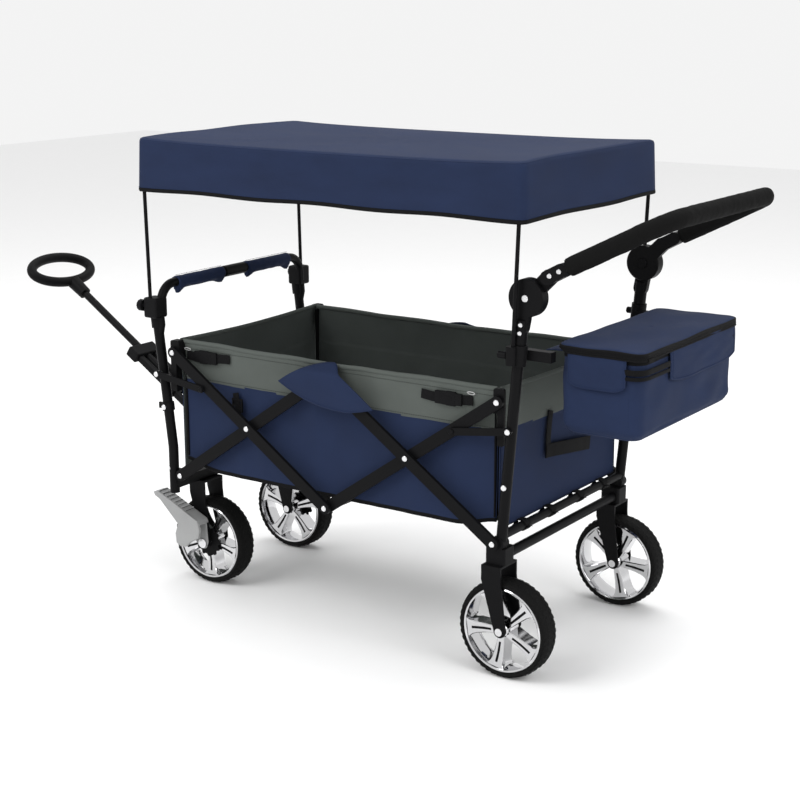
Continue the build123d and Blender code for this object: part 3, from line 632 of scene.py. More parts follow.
def endWall(name, low, high, body, outward):
    # the outer face has the same band as the sides; its top is rolled over a hem
    half = high.y + basket["endOverlap"]
    middle = (low.x + high.x) / 2
    bandZ = high.z - basket["bandDrop"] + 0.006

    def place(u, v):
        y = half * (2 * u - 1) * outward
        z = low.z + 0.002 + (high.z - 0.006 - low.z) * v
        droop = 0.006 * math.sin(math.pi * u) * v ** 3
        lean = ripple(y * 9, z * 5, outward, 0.0012)
        band = 0.0012 if z > bandZ - 0.012 * math.sin(math.pi * u) else 0.0
        return middle + outward * (lean + band), y, z - droop

    def slotOf(layer, u, v):
        z = place(u, v)[2]
        if layer == 1:
            return 2
        return 1 if z > bandZ - 0.014 * math.sin(math.pi * u) else 0

    size = (2 * half, high.z - low.z)
    piece = sheetPiece(name, place, (70, 60), size, 0.0018, (navyCloth, greyCloth, innerCloth), slotOf)
    hold(piece, body, "grey_fabric" if outward < 0 else "navy_fabric",
         "basket_front_wall" if outward < 0 else "basket_rear_wall")
    shape = Shape()
    shape.sweep(rowOf(place, 60, 1.0, 1), (0.0025, 0.005, 12))
    hem = shape.held(name + "Hem", (greyCloth,), body, "grey_fabric")


nearSide, sideSize = basketSide(-1, "basketSideNear")
farSide, sideSize = basketSide(1, "basketSideFar")
basketFloor()
basketRim()
endWall("basketFrontCloth", frontLow, frontHigh, "front_frame", -1)
endWall("basketRearCloth", rearLow, rearHigh, "rear_frame", 1)
seams = []
for side in (-1, 1):
    for z in (tubHigh.z - basket["bandDrop"] + 0.005, rimHeight(0.1) - 0.012):
        line = [(x, wallY(x, z, side) + side * 0.0014, z)
                for x in (tubLow.x + 0.01 + (tubHigh.x - tubLow.x - 0.02) * k / 160 for k in range(161))]
        seams.append(line)
bandSeams = seamPiece("basketStitches", seams, darkThread)
hold(bandSeams, "rear_frame", "grey_fabric")
gather(bandSeams)
print("wagon: basket made")

# Canopy cover
canopy = {"corner": 0.012, "edge": 0.009, "wall": 0.0018, "sag": 0.006, "flare": 0.0025,
          "bindingHeight": 0.009, "bend": 0.18, "columns": 260, "topRows": 40, "skirtRows": 34}


quarters = ((1, 1), (-1, 1), (-1, -1), (1, -1))


def roundRect(u, halfX, halfY, corner):
    straightX, straightY, arc = 2 * (halfX - corner), 2 * (halfY - corner), math.pi / 2 * corner
    run = (u % 1.0) * 2 * (straightX + straightY + 2 * arc)
    for k in range(4):
        straight = straightY if k % 2 == 0 else straightX
        if run <= straight:
            a = run - straight / 2
            return ((halfX, a), (-a, halfY), (-halfX, -a), (a, -halfY))[k]
        run -= straight
        if run <= arc:
            turn = run / corner + k * math.pi / 2
            signX, signY = quarters[k]
            return (signX * (halfX - corner) + corner * math.cos(turn),
                    signY * (halfY - corner) + corner * math.sin(turn))
        run -= arc
    return halfX, -straightY / 2


def canopyCover():
    centre = (coverLow + coverHigh) / 2
    halfX, halfY = (coverHigh.x - coverLow.x) / 2 - 0.001, coverHigh.y - 0.001
    rows = canopy["topRows"] + canopy["skirtRows"]
    top, bottom = coverHigh.z - 0.001, coverLow.z
    edge = canopy["edge"]

    def topHeight(x, y):
        along, across = x / halfX, y / halfY
        wrinkle = ripple(x * 5, y * 7, 1.0, 0.0016) * (1 - abs(across) ** 6)
        return top - canopy["sag"] * (1 - along ** 4) - 0.003 * across ** 4 + wrinkle

    def place(u, v):
        row = v * rows
        if row <= canopy["topRows"]:
            scale = row / canopy["topRows"]
            x, y = roundRect(u, halfX - edge, halfY - edge, canopy["corner"] - edge * 0.5)
            x, y = x * scale, y * scale
            return centre.x + x, y, topHeight(x, y)
        down = (row - canopy["topRows"]) / canopy["skirtRows"]
        turn = min(down / canopy["bend"], 1) * math.pi / 2
        inset = edge * (1 - math.sin(turn))
        x, y = roundRect(u, halfX - inset, halfY - inset, canopy["corner"] - inset * 0.5)
        away = halfX - abs(x) if halfY - abs(y) < halfX - abs(x) else halfY - abs(y)
        middle = smoothStep((away - 0.02) / 0.15)
        edgeZ = topHeight(x, y) - edge * (1 - math.cos(turn))
        fall = max(down - canopy["bend"], 0) / (1 - canopy["bend"])
        bow = math.sin(math.pi * fall)
        out = 1 + canopy["flare"] * (fall - 1.5 * bow * middle) / halfY
        wave = ripple(x * 10, y * 10, fall * 1.5, 0.0022) * fall * middle
        hem = bottom + 0.001 + 0.0015 * math.sin(x * 21 + y * 17)
        z = edgeZ + (hem - edgeZ) * fall
        waveX, waveY = wave * (abs(x) > halfX * 0.97), wave * (abs(y) > halfY * 0.97)
        return centre.x + x * out + waveX, y * out + waveY, z

    def slotOf(layer, u, v):
        return 1 if place(0.37, v)[2] < bottom + canopy["bindingHeight"] else 0

    piece = sheetPiece("canopyCloth", place, (canopy["columns"], rows), (3.0, 0.6), canopy["wall"],
                       (navyCloth, binding), slotOf, wrap=True)
    hold(piece, "rear_frame", "navy_fabric", "canopy_cover")
    gather(piece)
    shape = Shape()
    turns = canopy["columns"]
    edgeRow = (canopy["topRows"] + canopy["skirtRows"] * 0.1) / rows
    shape.sweep(rowOf(place, turns, edgeRow), (0.0017, 0.0017, 8), closed=True)
    shape.sweep(rowOf(place, turns, 0.99), (0.0017, 0.0042, 8), closed=True, slot=1)
    for node in ("front_canopy_bow", "rear_canopy_bow"):
        low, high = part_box(node)
        x = low.x + 0.004 if node.startswith("front") else high.x - 0.004
        tunnel = [(x, y, high.z - 0.0041) for y in (-0.252, -0.12, 0, 0.12, 0.252)]
        shape.sweep(tunnel, (0.0062, 0.0062, 14))
    trim = shape.held("canopyPiping", (navySoft, webbing), "rear_frame", "navy_fabric")
    gather(trim)
    stitchRow = next(k / rows for k in range(rows) if place(0.37, k / rows)[2] < bottom + 0.012)
    line = [Vector((centre.x + (p.x - centre.x) * 1.0022, p.y * 1.0035, p.z))
            for p in rowOf(place, turns, stitchRow, 1)]
    seams = seamPiece("canopyStitches", [line], thread)
    hold(seams, "rear_frame", "navy_fabric")
    gather(seams)


canopyCover()
print("wagon: canopy made")

# Rear bag
bagLow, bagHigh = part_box("bag_shell")
lidLow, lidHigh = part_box("bag_lid")
bag = {"corner": 0.022, "bulge": 0.006, "wall": 0.002, "lidSkirt": 0.015, "flapHeight": 0.068,
       "columns": 150}


def bagShell():
    centre = (bagLow + bagHigh) / 2
    halfX, halfY = (bagHigh.x - bagLow.x) / 2 - 0.003, bagHigh.y - 0.003

    def place(u, v):
        floor = 0.3
        if v < floor:
            scale = v / floor
            x, y = roundRect(u, halfX - 0.012, halfY - 0.012, bag["corner"])
            sag = 0.004 * (1 - scale ** 2)
            return centre.x + x * scale, y * scale, bagLow.z + 0.006 - sag + 0.003 * scale ** 6
        up = (v - floor) / (1 - floor)
        turn = min(up / 0.12, 1) * math.pi / 2
        inset = 0.012 * (1 - math.sin(turn))
        x, y = roundRect(u, halfX - inset, halfY - inset, bag["corner"])
        corner = abs(x / halfX) ** 4 * abs(y / halfY) ** 4
        belly = bag["bulge"] * math.sin(math.pi * up) ** 0.8 * (1 - corner) - 0.003
        normalX = x / halfX if abs(x) > halfX * 0.93 else 0
        normalY = y / halfY if abs(y) > halfY * 0.93 else 0
        crease = ripple(x * 22, y * 14, up * 4, 0.005) * (1 - 0.4 * up)
        z = bagLow.z + 0.009 + (bagHigh.z - 0.003 - bagLow.z - 0.009) * up
        return centre.x + x + normalX * (belly + crease), y + normalY * (belly + crease), z

    def slotOf(layer, u, v):
        return 1 if layer else 0

    piece = sheetPiece("bagCloth", place, (bag["columns"], 64), (1.2, 0.32), bag["wall"],
                       (navyCloth, innerCloth), slotOf, wrap=True)
    hold(piece, "rear_frame", "navy_fabric", "bag_shell")
    shape = Shape()
    for signX, signY in quarters:
        # sewn seam down each corner
        share = next(k / 600 for k, p in enumerate(rowOf(place, 600, 0.6))
                     if signX * (p.x - centre.x) > halfX - bag["corner"]
                     and signY * p.y > halfY - bag["corner"] * 0.35)
        line = [Vector(place(share, 0.36 + 0.6 * m / 20)) for m in range(21)]
        shape.sweep(line, (0.0011, 0.0011, 8), up=(signX, signY, 0), slot=1)
    shape.sweep(rowOf(place, bag["columns"], 0.315), (0.0016, 0.0016, 8), closed=True, slot=1)
    shape.sweep(rowOf(place, bag["columns"], 0.955), (0.0024, 0.0055, 12, 4), closed=True)
    shape.held("bagBinding", (webbing, navySoft), "rear_frame", "navy_fabric")


def patch(name, origin, across, width, height, depth, rounding):
    # stitched flap that stands out by depth and is fixed along its upper edge
    across, up = Vector(across), Vector((0, 0, 1))
    out = across.cross(up)

    def place(u, v):
        edgeU = abs(2 * u - 1)
        puff = depth * (0.55 + 0.45 * (1 - edgeU ** 4)) * (1 - 0.55 * v ** 4)
        lift = rounding * edgeU ** 6 * (1 - v)
        fold = ripple(u * 5, v * 4, width * 30, 0.0022) * (1 - edgeU ** 4)
        return (Vector(origin) + across * (width * (u - 0.5)) + up * (height * v + lift)
                + out * (puff + fold))

    piece = sheetPiece(name, place, (48, 30), (width, height), 0.0022, (navyCloth, binding))
    hold(piece, "rear_frame", "navy_fabric")
    lines = [[Vector(place(u, v)) + out * 0.0014 for u, v in
              [(0.03, 1 - t / 14) for t in range(14)] + [(0.03 + 0.94 * t / 30, 0.06) for t in range(31)]
              + [(0.97, t / 14) for t in range(1, 15)]]]
    hold(seamPiece(name + "Stitches", lines, thread), "rear_frame", "navy_fabric")


def bagFlaps():
    middleX = (bagLow.x + bagHigh.x) / 2
    for side, label in ((-1, "Near"), (1, "Far")):
        place = (middleX - 0.004, side * (bagHigh.y - 0.002), bagHigh.z - 0.072)
        patch("bagFlap" + label, place, (-side, 0, 0), 0.122, bag["flapHeight"], 0.008, 0.012)
    place = (bagHigh.x - 0.002, 0.05, bagHigh.z - 0.072)
    patch("bagFlapRear", place, (0, 1, 0), 0.30, bag["flapHeight"], 0.009, 0.01)
    # zip tapes that turn round both rear corners under the flaps
    shape = Shape()
    corner = bag["corner"]
    for side in (-1, 1):
        for z, height in ((bagHigh.z - 0.031, 0.0055), (bagHigh.z - 0.043, 0.0035)):
            line = []
            for k in range(30):
                t = k / 29
                if t < 0.4:
                    line.append((bagHigh.x - 0.055 + 0.03 * t / 0.4, side * (bagHigh.y + 0.0025), z))
                elif t < 0.6:
                    turn = (t - 0.4) / 0.2 * math.pi / 2
                    line.append((bagHigh.x - corner + 0.0005 + (corner + 0.002) * math.sin(turn),
                                 side * (bagHigh.y - corner + 0.0005 + (corner + 0.002) * math.cos(turn)), z))
                else:
                    reach = (t - 0.6) / 0.4
                    line.append((bagHigh.x + 0.0035, side * (bagHigh.y - corner - 0.09 * reach), z))
            shape.sweep(line, (0.0012, height, 12, 5))
    shape.held("bagZipTapes", (webbing,), "rear_frame", "navy_fabric")


def bagApron():
    # strip of cloth from the bag's top edge over its brackets
    def place(u, v):
        y = (bagHigh.y - 0.012) * (2 * u - 1)
        x = bagLow.x + 0.004 - 0.036 * v
        return x, y, bagHigh.z - 0.009 - 0.003 * v ** 2 + ripple(y * 9, v, 4.0, 0.003) * v

    size = (2 * bagHigh.y - 0.024, 0.037)
    piece = sheetPiece("bagApron", place, (70, 10), size, 0.0018, (navyCloth, binding))
    hold(piece, "rear_frame", "navy_fabric")


def bagLid():
    centre = (lidLow + lidHigh) / 2
    halfX, halfY = (lidHigh.x - lidLow.x) / 2 + 0.003, lidHigh.y + 0.003

    def place(u, v):
        edge, flat, bend = 0.006, 0.6, 0.25     # rounding, share of the top, share of the skirt's turn
        if v < flat:
            scale = v / flat
            x, y = roundRect(u, halfX - edge, halfY - edge, bag["corner"])
            x, y = x * scale, y * scale
            crown = 0.005 * (1 - (x / halfX) ** 2) * (1 - (y / halfY) ** 2)
            return centre.x + x, y, lidHigh.z - 0.001 + crown + ripple(x * 16, y * 10, 2.0, 0.003)
        down = (v - flat) / (1 - flat)
        turn = min(down / bend, 1) * math.pi / 2
        inset = edge * (1 - math.sin(turn))
        x, y = roundRect(u, halfX - inset, halfY - inset, bag["corner"])
        away = 0.08 + 0.92 * smoothStep((centre.x + x - lidLow.x - 0.004) / 0.02)
        skirt = (bag["lidSkirt"] - edge) * away
        z = lidHigh.z - 0.001 - edge * (1 - math.cos(turn)) - skirt * max(down - bend, 0) / (1 - bend)
        wave = 1 + ripple(x * 18, y * 18, 3.0, 0.006) * down
        return centre.x + x * wave, y * wave, z + ripple(x * 16, y * 10, 2.0, 0.003) * (1 - down)

    def slotOf(layer, u, v):
        return 1 if v > 0.66 else 0

    piece = sheetPiece("bagLidCloth", place, (bag["columns"], 48), (1.2, 0.24), 0.002, (navyCloth, binding),
                       slotOf, wrap=True)
    hold(piece, "bag_lid", "navy_fabric", "bag_lid")
    shape = Shape()
    for row, size in ((0.665, 0.0024), (0.83, 0.0016), (0.97, 0.0022)):
        shape.sweep(rowOf(place, bag["columns"], row), (size, size, 8), closed=True)
    shape.block((lidHigh.x + 0.005, -halfY + 0.03, lidHigh.z - 0.016), (0.003, 0.022, 0.007), 0.0014)
    shape.held("bagLidPiping", (webbing,), "bag_lid", "navy_fabric")


bagShell()
bagFlaps()
bagApron()
bagLid()
print("wagon: bag made")

# Small sewn parts on the basket
straps = {"width": 0.02, "thick": 0.0016, "height": 0.549, "buckleLength": 0.062, "buckleHeight": 0.027}


def buckle(shape, x, side, z, towards):
    y = side * (tubHigh.y + 0.0033)
    line = []
    for k in range(11):
        a = x + towards * (0.055 - 0.012 * k)
        bow = 0.0012 + 0.002 * math.exp(-((a - x) / 0.03) ** 2)
        line.append((a, side * (tubHigh.y + bow), z + 0.0025 * math.sin(a * 40)))
    shape.sweep(line, (straps["thick"] / 2, straps["width"] / 2, 12, 5))
    length, height = straps["buckleLength"], straps["buckleHeight"]
    shape.block((x, y, z), (length * 0.56, 0.0066, height), 0.003, 1, segments=3)
    shape.block((x + towards * length * 0.36, y, z), (length * 0.3, 0.0056, height * 0.9), 0.0022, 1)
    shape.block((x - towards * length * 0.37, y, z), (length * 0.26, 0.006, height * 0.98), 0.0022, 1)
    for lift in (-1, 1):
        shape.block((x + towards * 0.006, y, z + lift * height * 0.47), (0.022, 0.005, 0.0035), 0.0012, 1)
    shape.block((x, y + side * 0.003, z), (length * 0.3, 0.0012, height * 0.34), 0.0006, 1)


def wireRing(shape, x, side, z):
    loop = [(x + 0.0085 * math.cos(a), side * (tubHigh.y + 0.003 + 0.002 * math.sin(a)),
             z + 0.003 * math.sin(a)) for a in (2 * math.pi * k / 24 for k in range(24))]
    shape.sweep(loop, (0.0009, 0.0009, 8), up=(0, 1, 0), slot=2, closed=True)


def basketStraps():
    shape = Shape()
    for side in (-1, 1):
        for x, towards in ((tubLow.x + 0.072, -1), (tubHigh.x - 0.112, 1)):
            buckle(shape, x, side, straps["height"] + (0.004 if towards < 0 else 0), towards)
            wireRing(shape, x + towards * 0.052, side, straps["height"] + 0.017)
        # webbing loop with a ladder buckle beside the front crossing
        x, z = tubLow.x + 0.155, 0.455
        path = [(x + along, side * (tubHigh.y + out), z + up) for along, out, up in
                ((-0.004, 0.001, 0.03), (0, 0.0025, 0.012), (0.004, 0.003, -0.008), (0, 0.0015, -0.03))]
        shape.sweep(path, (0.0009, 0.008, 12, 5), up=(1, 0, 0))
        y = side * (tubHigh.y + 0.003)
        for lift in (-0.008, 0.004, 0.016):
            shape.block((x + 0.002, y, z + lift), (0.024, 0.0036, 0.0045), 0.001, 1)
        for shift in (-0.012, 0.012):
            shape.block((x + 0.002 + shift, y, z + 0.004), (0.004, 0.0036, 0.03), 0.001, 1)
    piece = shape.held("basketStraps", (webbing, blackPlastic, whiteWire), "rear_frame", "black_plastic")
    gather(piece)


def pivotFlap(side, label):
    # leaf-shaped cover sewn to the rim, which hides the top middle pivot
    origin = Vector(((tubLow.x + tubHigh.x) / 2, side * 0.2775, 0.0))
    left, right, peak, low = -0.108, 0.132, 0.018, 0.062

    def upper(x):
        if x < peak:
            return 0.537 + 0.049 * math.sin((x - left) / (peak - left) * math.pi / 2) ** 0.9
        return 0.586 - 0.077 * ((x - peak) / (right - peak)) ** 1.1

    def lower(x):
        if x < low:
            return 0.493 + 0.044 * (1 - math.sin((x - left) / (low - left) * math.pi / 2)) ** 1.3
        return 0.493 + 0.015 * ((x - low) / (right - low)) ** 1.4

    def place(u, v):
        t = u if side < 0 else 1 - u
        x = left + (right - left) * t
        bottom, top = lower(x), max(upper(x), lower(x) + 0.001)
        z = bottom + (top - bottom) * v
        lean = 0.031 * smoothStep((z - 0.566) / 0.022)
        puff = 0.004 * math.sin(math.pi * t) * math.sin(math.pi * v)
        return origin.x + x, side * (0.2782 - lean + puff), z

    piece = sheetPiece("pivotFlap" + label, place, (60, 24), (0.232, 0.08), 0.0018, (navyCloth, binding))
    hold(piece, "rear_frame", "navy_fabric")
    gather(piece)
    edge = [Vector(place(k / 50, 0.06)) + Vector((0, side * 0.0013, 0)) for k in range(2, 49)]
    seams = seamPiece("pivotFlapStitches" + label, [edge], thread)
    hold(seams, "rear_frame", "navy_fabric")
    gather(seams)


def floorStraps():
    # short loops that tie the basket's bottom to the upper rear cross bar
    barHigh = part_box("rear_cross_bars")[1]
    centreX, centreZ = barHigh.x - 0.009, barHigh.z - 0.009
    shape = Shape()
    for y in (-0.165, -0.06, 0.06, 0.165):
        loop = []
        for k in range(28):
            angle = 2 * math.pi * k / 28
            stretch = 0.011 if math.cos(angle) < 0 else 0.0
            loop.append((centreX + 0.0105 * math.cos(angle) - stretch, y, centreZ + 0.0105 * math.sin(angle)))
        shape.sweep(loop, (0.011, 0.0008, 12, 5), up=(0, 0.001, 1), closed=True)
    shape.held("floorStraps", (webbing,), "rear_frame", "black_plastic")


def rearWebbing():
    # black strap that hangs on the outside of the rear wall and turns into a wide carrying band
    x = rearHigh.x + 0.003
    shape = Shape()
    hanging = [(x, -0.052, 0.5), (x + 0.001, -0.059, 0.47), (x + 0.0015, -0.063, 0.445),
               (x + 0.001, -0.062, 0.42)]
    shape.sweep(hanging, (0.0012, 0.0095, 12, 5), up=(0, 1, 0))
    band = [(x + 0.0015, -0.071 + 0.186 * k / 12, 0.419 - 0.024 * (k / 12) ** 1.2) for k in range(13)]
    band = [(a + 0.003 * math.sin(math.pi * k / 12), b, c) for k, (a, b, c) in enumerate(band)]
    shape.sweep(band, (0.0014, 0.0145, 12, 5))
    shape.held("rearWebbing", (webbing,), "rear_frame", "black_plastic")


basketStraps()
pivotFlap(-1, "Near")
pivotFlap(1, "Far")
floorStraps()
rearWebbing()
print("wagon: straps and flaps made")


# Padded pieces: grab bar sleeves and push bar foam
padding = {"voxel": 0.004, "foamVoxel": 0.003, "pressure": 4.0, "frames": 20, "cap": 0.004}


def swell(piece, pressure, cap):
    mesh = remeshed(piece, padding["voxel"])
    rest = [v.co.copy() for v in mesh.vertices]
    cloth = piece.modifiers.new("cloth", "CLOTH")
    cloth.settings.use_pressure = True
    cloth.settings.uniform_pressure_force = pressure
    cloth.settings.effector_weights.gravity = 0
    for number in range(1, padding["frames"] + 1):
        scene.frame_set(number)
    for vertex, start in zip(settle(piece, cloth).vertices, rest):
        shift = vertex.co - start
        if shift.length > cap:
            vertex.co = start + shift.normalized() * cap
    scene.frame_set(1)


def paint(piece, material):
    piece.data.materials.clear()
    piece.data.materials.append(material)
    piece.data.polygons.foreach_set("material_index", [0] * len(piece.data.polygons))
    piece.data.shade_smooth()


def sleeves():
    low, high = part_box("grab_sleeves")
    x, z = (low.x + high.x) / 2, (low.z + high.z) / 2
    shape = Shape()
    for side in (-1, 1):
        count = 40
        inner, outer = side * 0.042, side * (high.y - 0.001)
        verts, faces, sides = [], [], 28
        for k in range(count + 1):
            t = k / count
            y = inner + (outer - inner) * t
            ends = 0.0012 * math.exp(-min(t, 1 - t) * 40)
            hang = (0.005 + 0.009 * math.exp(-((t - 0.97) / 0.09) ** 2)
                    + 0.006 * math.exp(-((t - 0.05) / 0.1) ** 2))
            for m in range(sides):
                angle = 2 * math.pi * m / sides
                drop = max(0.0, -math.sin(angle)) ** 3
                radius = 0.0135 + ends + ripple(t * 9, m * 0.3, side, 0.001)
                verts.append((x + radius * math.cos(angle) * (1 - 0.35 * drop), y,
                              z + radius * math.sin(angle) - hang * drop))
        for k in range(count):
            faces += bridge(k * sides, (k + 1) * sides, sides)
        faces.append(tuple(range(sides)))
        faces.append(tuple(range(count * sides, (count + 1) * sides)))
        shape.add(verts, faces)
    piece = shape.piece("grabSleeves", (navySoft,))
    swell(piece, padding["pressure"], padding["cap"] * 0.5)
    paint(piece, navySoft)
    hold(piece, "front_frame", "navy_fabric", "grab_sleeves")
    lines = []
    for side in (-1, 1):
        lines.append([(x, side * (0.045 + (high.y - 0.048) * k / 40), z + 0.0152) for k in range(41)])
    hold(seamPiece("sleeveStitches", lines, thread), "front_frame", "navy_fabric")


def pushFoam():
    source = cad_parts["push_foam"].data.copy()
    work = bmesh.new()
    work.from_mesh(source)
    bmesh.ops.remove_doubles(work, verts=work.verts, dist=1e-5)
    work.to_mesh(source)
    work.free()
    piece = linkPiece("pushFoamGrip", source)
    mesh = remeshed(piece, padding["foamVoxel"])
    normals = [v.normal.copy() for v in mesh.vertices]
    for vertex, normal in zip(mesh.vertices, normals):
        vertex.co += normal * (ripple(*(vertex.co * 60), 0.0007) + ripple(*(vertex.co * 220), 0.0003))
    paint(piece, foam)
    hold(piece, "push_bar", "foam_grip", "push_foam")


sleeves()
pushFoam()
print("wagon: padded pieces made")

# Front caps: moulded sockets where the posts, the grab bar and the canopy bow meet
cap = {"along": 0.038, "across": 0.038, "bottom": 0.629, "top": 0.674, "neck": 0.0142, "knob": 0.0125,
       "postBend": 0.339, "postTop": 0.63, "collar": (0.421, 0.439), "knobSides": 36}


def frontCaps():
    postLow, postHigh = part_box("front_posts")
    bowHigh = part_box("front_canopy_bow")[1]
    grabLow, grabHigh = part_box("grab_bar")
    footX, topX, postY = postHigh.x - 0.011, postLow.x + 0.0109, postHigh.y - 0.011
    capX = bowHigh.x - 0.0035
    shape = Shape()

    def postLine(low, high, side):
        spots = []
        for k in range(6):
            z = low + (high - low) * k / 5
            lean = (z - cap["postBend"]) / (cap["postTop"] - cap["postBend"])
            spots.append((footX + (topX - footX) * lean, side * postY, z))
        return spots

    for side in (-1, 1):
        middleY = side * (bowHigh.y + 0.003 - cap["across"] / 2)
        middleZ = (cap["bottom"] + cap["top"]) / 2
        size = (cap["along"], cap["across"], cap["top"] - cap["bottom"])
        shape.block((capX + 0.002, middleY, middleZ), size, 0.008, segments=5)
        shape.sweep(postLine(0.606, 0.634, side), (cap["neck"], cap["neck"], 28), up=(1, 0, 0))
        foot = postLine(0.592, 0.6, side)[0]
        web = [(foot[0] + 0.004, foot[1], 0.592), (foot[0] + 0.009, foot[1], 0.612),
               ((grabLow.x + grabHigh.x) / 2, side * postY, 0.64)]
        shape.sweep(web, (0.0085, 0.0075, 20), up=(1, 0, 0))
        shape.sweep(postLine(*cap["collar"], side), (0.014, 0.014, 28), up=(1, 0, 0))
        tab = postLine(0.43, 0.431, side)[0]
        shape.block((tab[0] - 0.017, side * (postY + 0.001), 0.43), (0.016, 0.006, 0.014), 0.0016)
        # ribbed knob in front of the cap
        knob = [(0.004, 0.0), (cap["knob"] - 0.001, 0.0), (cap["knob"], 0.001), (cap["knob"], 0.011),
                (cap["knob"] - 0.002, 0.0135), (0.006, 0.014)]
        knobX, knobY, knobZ = capX - cap["along"] / 2 - 0.001, side * (bowHigh.y - 0.004), 0.655
        verts, around = [], cap["knobSides"]
        for radius, reach in knob:
            for k in range(around):
                ribbed, angle = radius * (1 + 0.05 * (k % 3 == 0)), 2 * math.pi * k / around
                verts.append((knobX - reach, knobY + ribbed * math.cos(angle),
                              knobZ + ribbed * math.sin(angle)))
        faces = [tuple(range(around)), tuple(range(len(verts) - around, len(verts)))]
        for level in range(len(knob) - 1):
            faces += bridge(level * around, level * around + around, around)
        shape.add(verts, faces)
        stem = [(capX - 0.014, knobY, knobZ), (knobX - 0.002, knobY, knobZ)]
        shape.sweep(stem, (0.005, 0.005, 16))
    shape.held("frontCaps", (blackPlastic,), "front_frame", "black_plastic", "front_canopy_clamps")


frontCaps()
print("wagon: front caps made")

# Wheels
wheel = {"radius": 0.1, "width": 0.051, "rim": 0.0865, "spokes": 5, "treads": 44, "blockDepth": 0.001}


def tyrePiece(label, centre, body, node):
    half, radius, rim = wheel["width"] / 2, wheel["radius"] - wheel["blockDepth"], wheel["rim"]
    rows = [(rim + 0.0005, -half + 0.004), (rim + 0.002, -half + 0.0018), (rim + 0.006, -half + 0.0004),
            (radius - 0.005, -half + 0.001), (radius - 0.0012, -half + 0.0055)]
    rows += [(radius - 0.0004 + 0.0012 * math.cos(a), half * 0.72 * math.sin(a))
             for a in (math.pi / 2 * (k / 5 - 1) for k in range(11))]
    rows += [(r, -a) for r, a in reversed(rows[:5])]
    shape = Shape()
    shape.lathe(rows, centre, 96, closed=True)
    for side in (-1, 1):
        ring = [(rim + 0.0065 + 0.0008 * math.cos(a), side * (half - 0.0004) + 0.0006 * math.sin(a))
                for a in (2 * math.pi * k / 8 for k in range(8))]
        shape.lathe(ring, centre, 96, closed=True)
    shape.held("tyre" + label, (tyreRubber,), body, "tyre_rubber", node)
    # shoulder blocks and middle zigzag, copied round the hub
    for side in (-1, 1):
        block = Shape()
        depth = wheel["blockDepth"]
        lift = radius + depth * 0.3
        turn = Matrix.Rotation(side * 0.30, 3, "Z") @ Matrix.Rotation(side * 0.35, 3, "X")
        block.block((lift - 0.0027, side * (half - 0.0095), 0), (depth + 0.004, 0.015, 0.0088), 0.0009,
                    turn=turn, segments=1)
        block.block((lift - 0.0004, side * 0.0062, 0.0035), (depth + 0.001, 0.0115, 0.0072), 0.0007,
                    turn=Matrix.Rotation(-side * 0.5, 3, "X"), segments=1)
        where = "Inner" if side * centre[1] < 0 else "Outer"
        tread = block.piece("tread" + label + where, (tyreRubber,), False)
        grow(tread, aroundHub, {"Count": wheel["treads"], "First Angle": 0.07 * side, "Centre": centre,
                                "Material": tyreRubber})
        hold(tread, body, "tyre_rubber")


def rimPiece(label, centre, body, node):
    half = wheel["width"] / 2 - 0.003
    rim = wheel["rim"]
    barrel = [(rim, -half), (rim + 0.0012, -half - 0.001), (rim - 0.001, -half - 0.0028),
              (rim - 0.004, -half - 0.0012), (rim - 0.0055, -half + 0.004), (rim - 0.0075, -half * 0.4)]
    barrel += [(r, -a) for r, a in reversed(barrel)] + [(rim - 0.0005, 0)]
    shape = Shape()
    shape.lathe(barrel, centre, 96, closed=True)
    hub = [(0.0052, -half - 0.001), (0.0115, -half - 0.001), (0.0135, -half + 0.001),
           (0.0155, -half + 0.006), (0.0165, -half + 0.010)]
    hub += [(r, -a) for r, a in reversed(hub)]
    shape.lathe(hub, centre, 48, closed=True)
    shape.held("rim" + label, (chrome,), body, "chrome_rim", node)
    # one double spoke with a black strip of painted shade along its slot, copied five times
    outline = [(0.0135, 0.0062), (0.022, 0.0078), (0.045, 0.0098), (0.062, 0.0118), (0.072, 0.0145),
               (0.078, 0.019), (0.0805, 0.025)]
    spoke, slots = Shape(), Shape()
    depth = half - 0.001
    slotStart, slotEnd = 0.026, 0.071

    def dishAt(r):
        return 0.0035 * math.sin(math.pi * (r - 0.0135) / 0.067)

    ridge = outline + [(r, -w) for r, w in reversed(outline)]
    count = len(ridge)
    verts = []
    for y, trim in ((-depth, 0.0016), (-depth + 0.0018, 0), (depth - 0.0018, 0), (depth, 0.0016)):
        for r, w in ridge:
            verts.append((r, y - math.copysign(dishAt(r), y), w - math.copysign(trim, w)))
    faces = [tuple(range(count)), tuple(range(3 * count, 4 * count))]
    for level in range(3):
        faces += bridge(level * count, level * count + count, count)
    spoke.add(verts, faces)
    # thin black strips on both faces: painted shade standing in for the slot between the spoke's two bars
    for side in (-1, 1):
        line = []
        for k in range(9):
            r = slotStart + (slotEnd - slotStart) * k / 8
            line.append((r, side * (depth + 0.0002 - dishAt(r)), 0.0))
        slots.sweep(line, (0.0026, 0.0006, 10, 3), up=(0, 1, 0))
    bars = spoke.piece("spokes" + label, (chrome,))
    marks = slots.piece("spokeSlotShade" + label, (blackPlastic,))
    first = {"FrontNear": 0.25, "FrontFar": 0.9, "RearNear": 0.5, "RearFar": 0.1}[label]
    for pattern, material in ((bars, chrome), (marks, blackPlastic)):
        grow(pattern, aroundHub, {"Count": wheel["spokes"], "First Angle": first, "Centre": centre,
                                  "Material": material})
    hold(marks, body, "black_plastic")
    bars.data.shade_smooth()
    bars.data.set_sharp_from_angle(angle=math.radians(40))
    hold(bars, body, "chrome_rim")


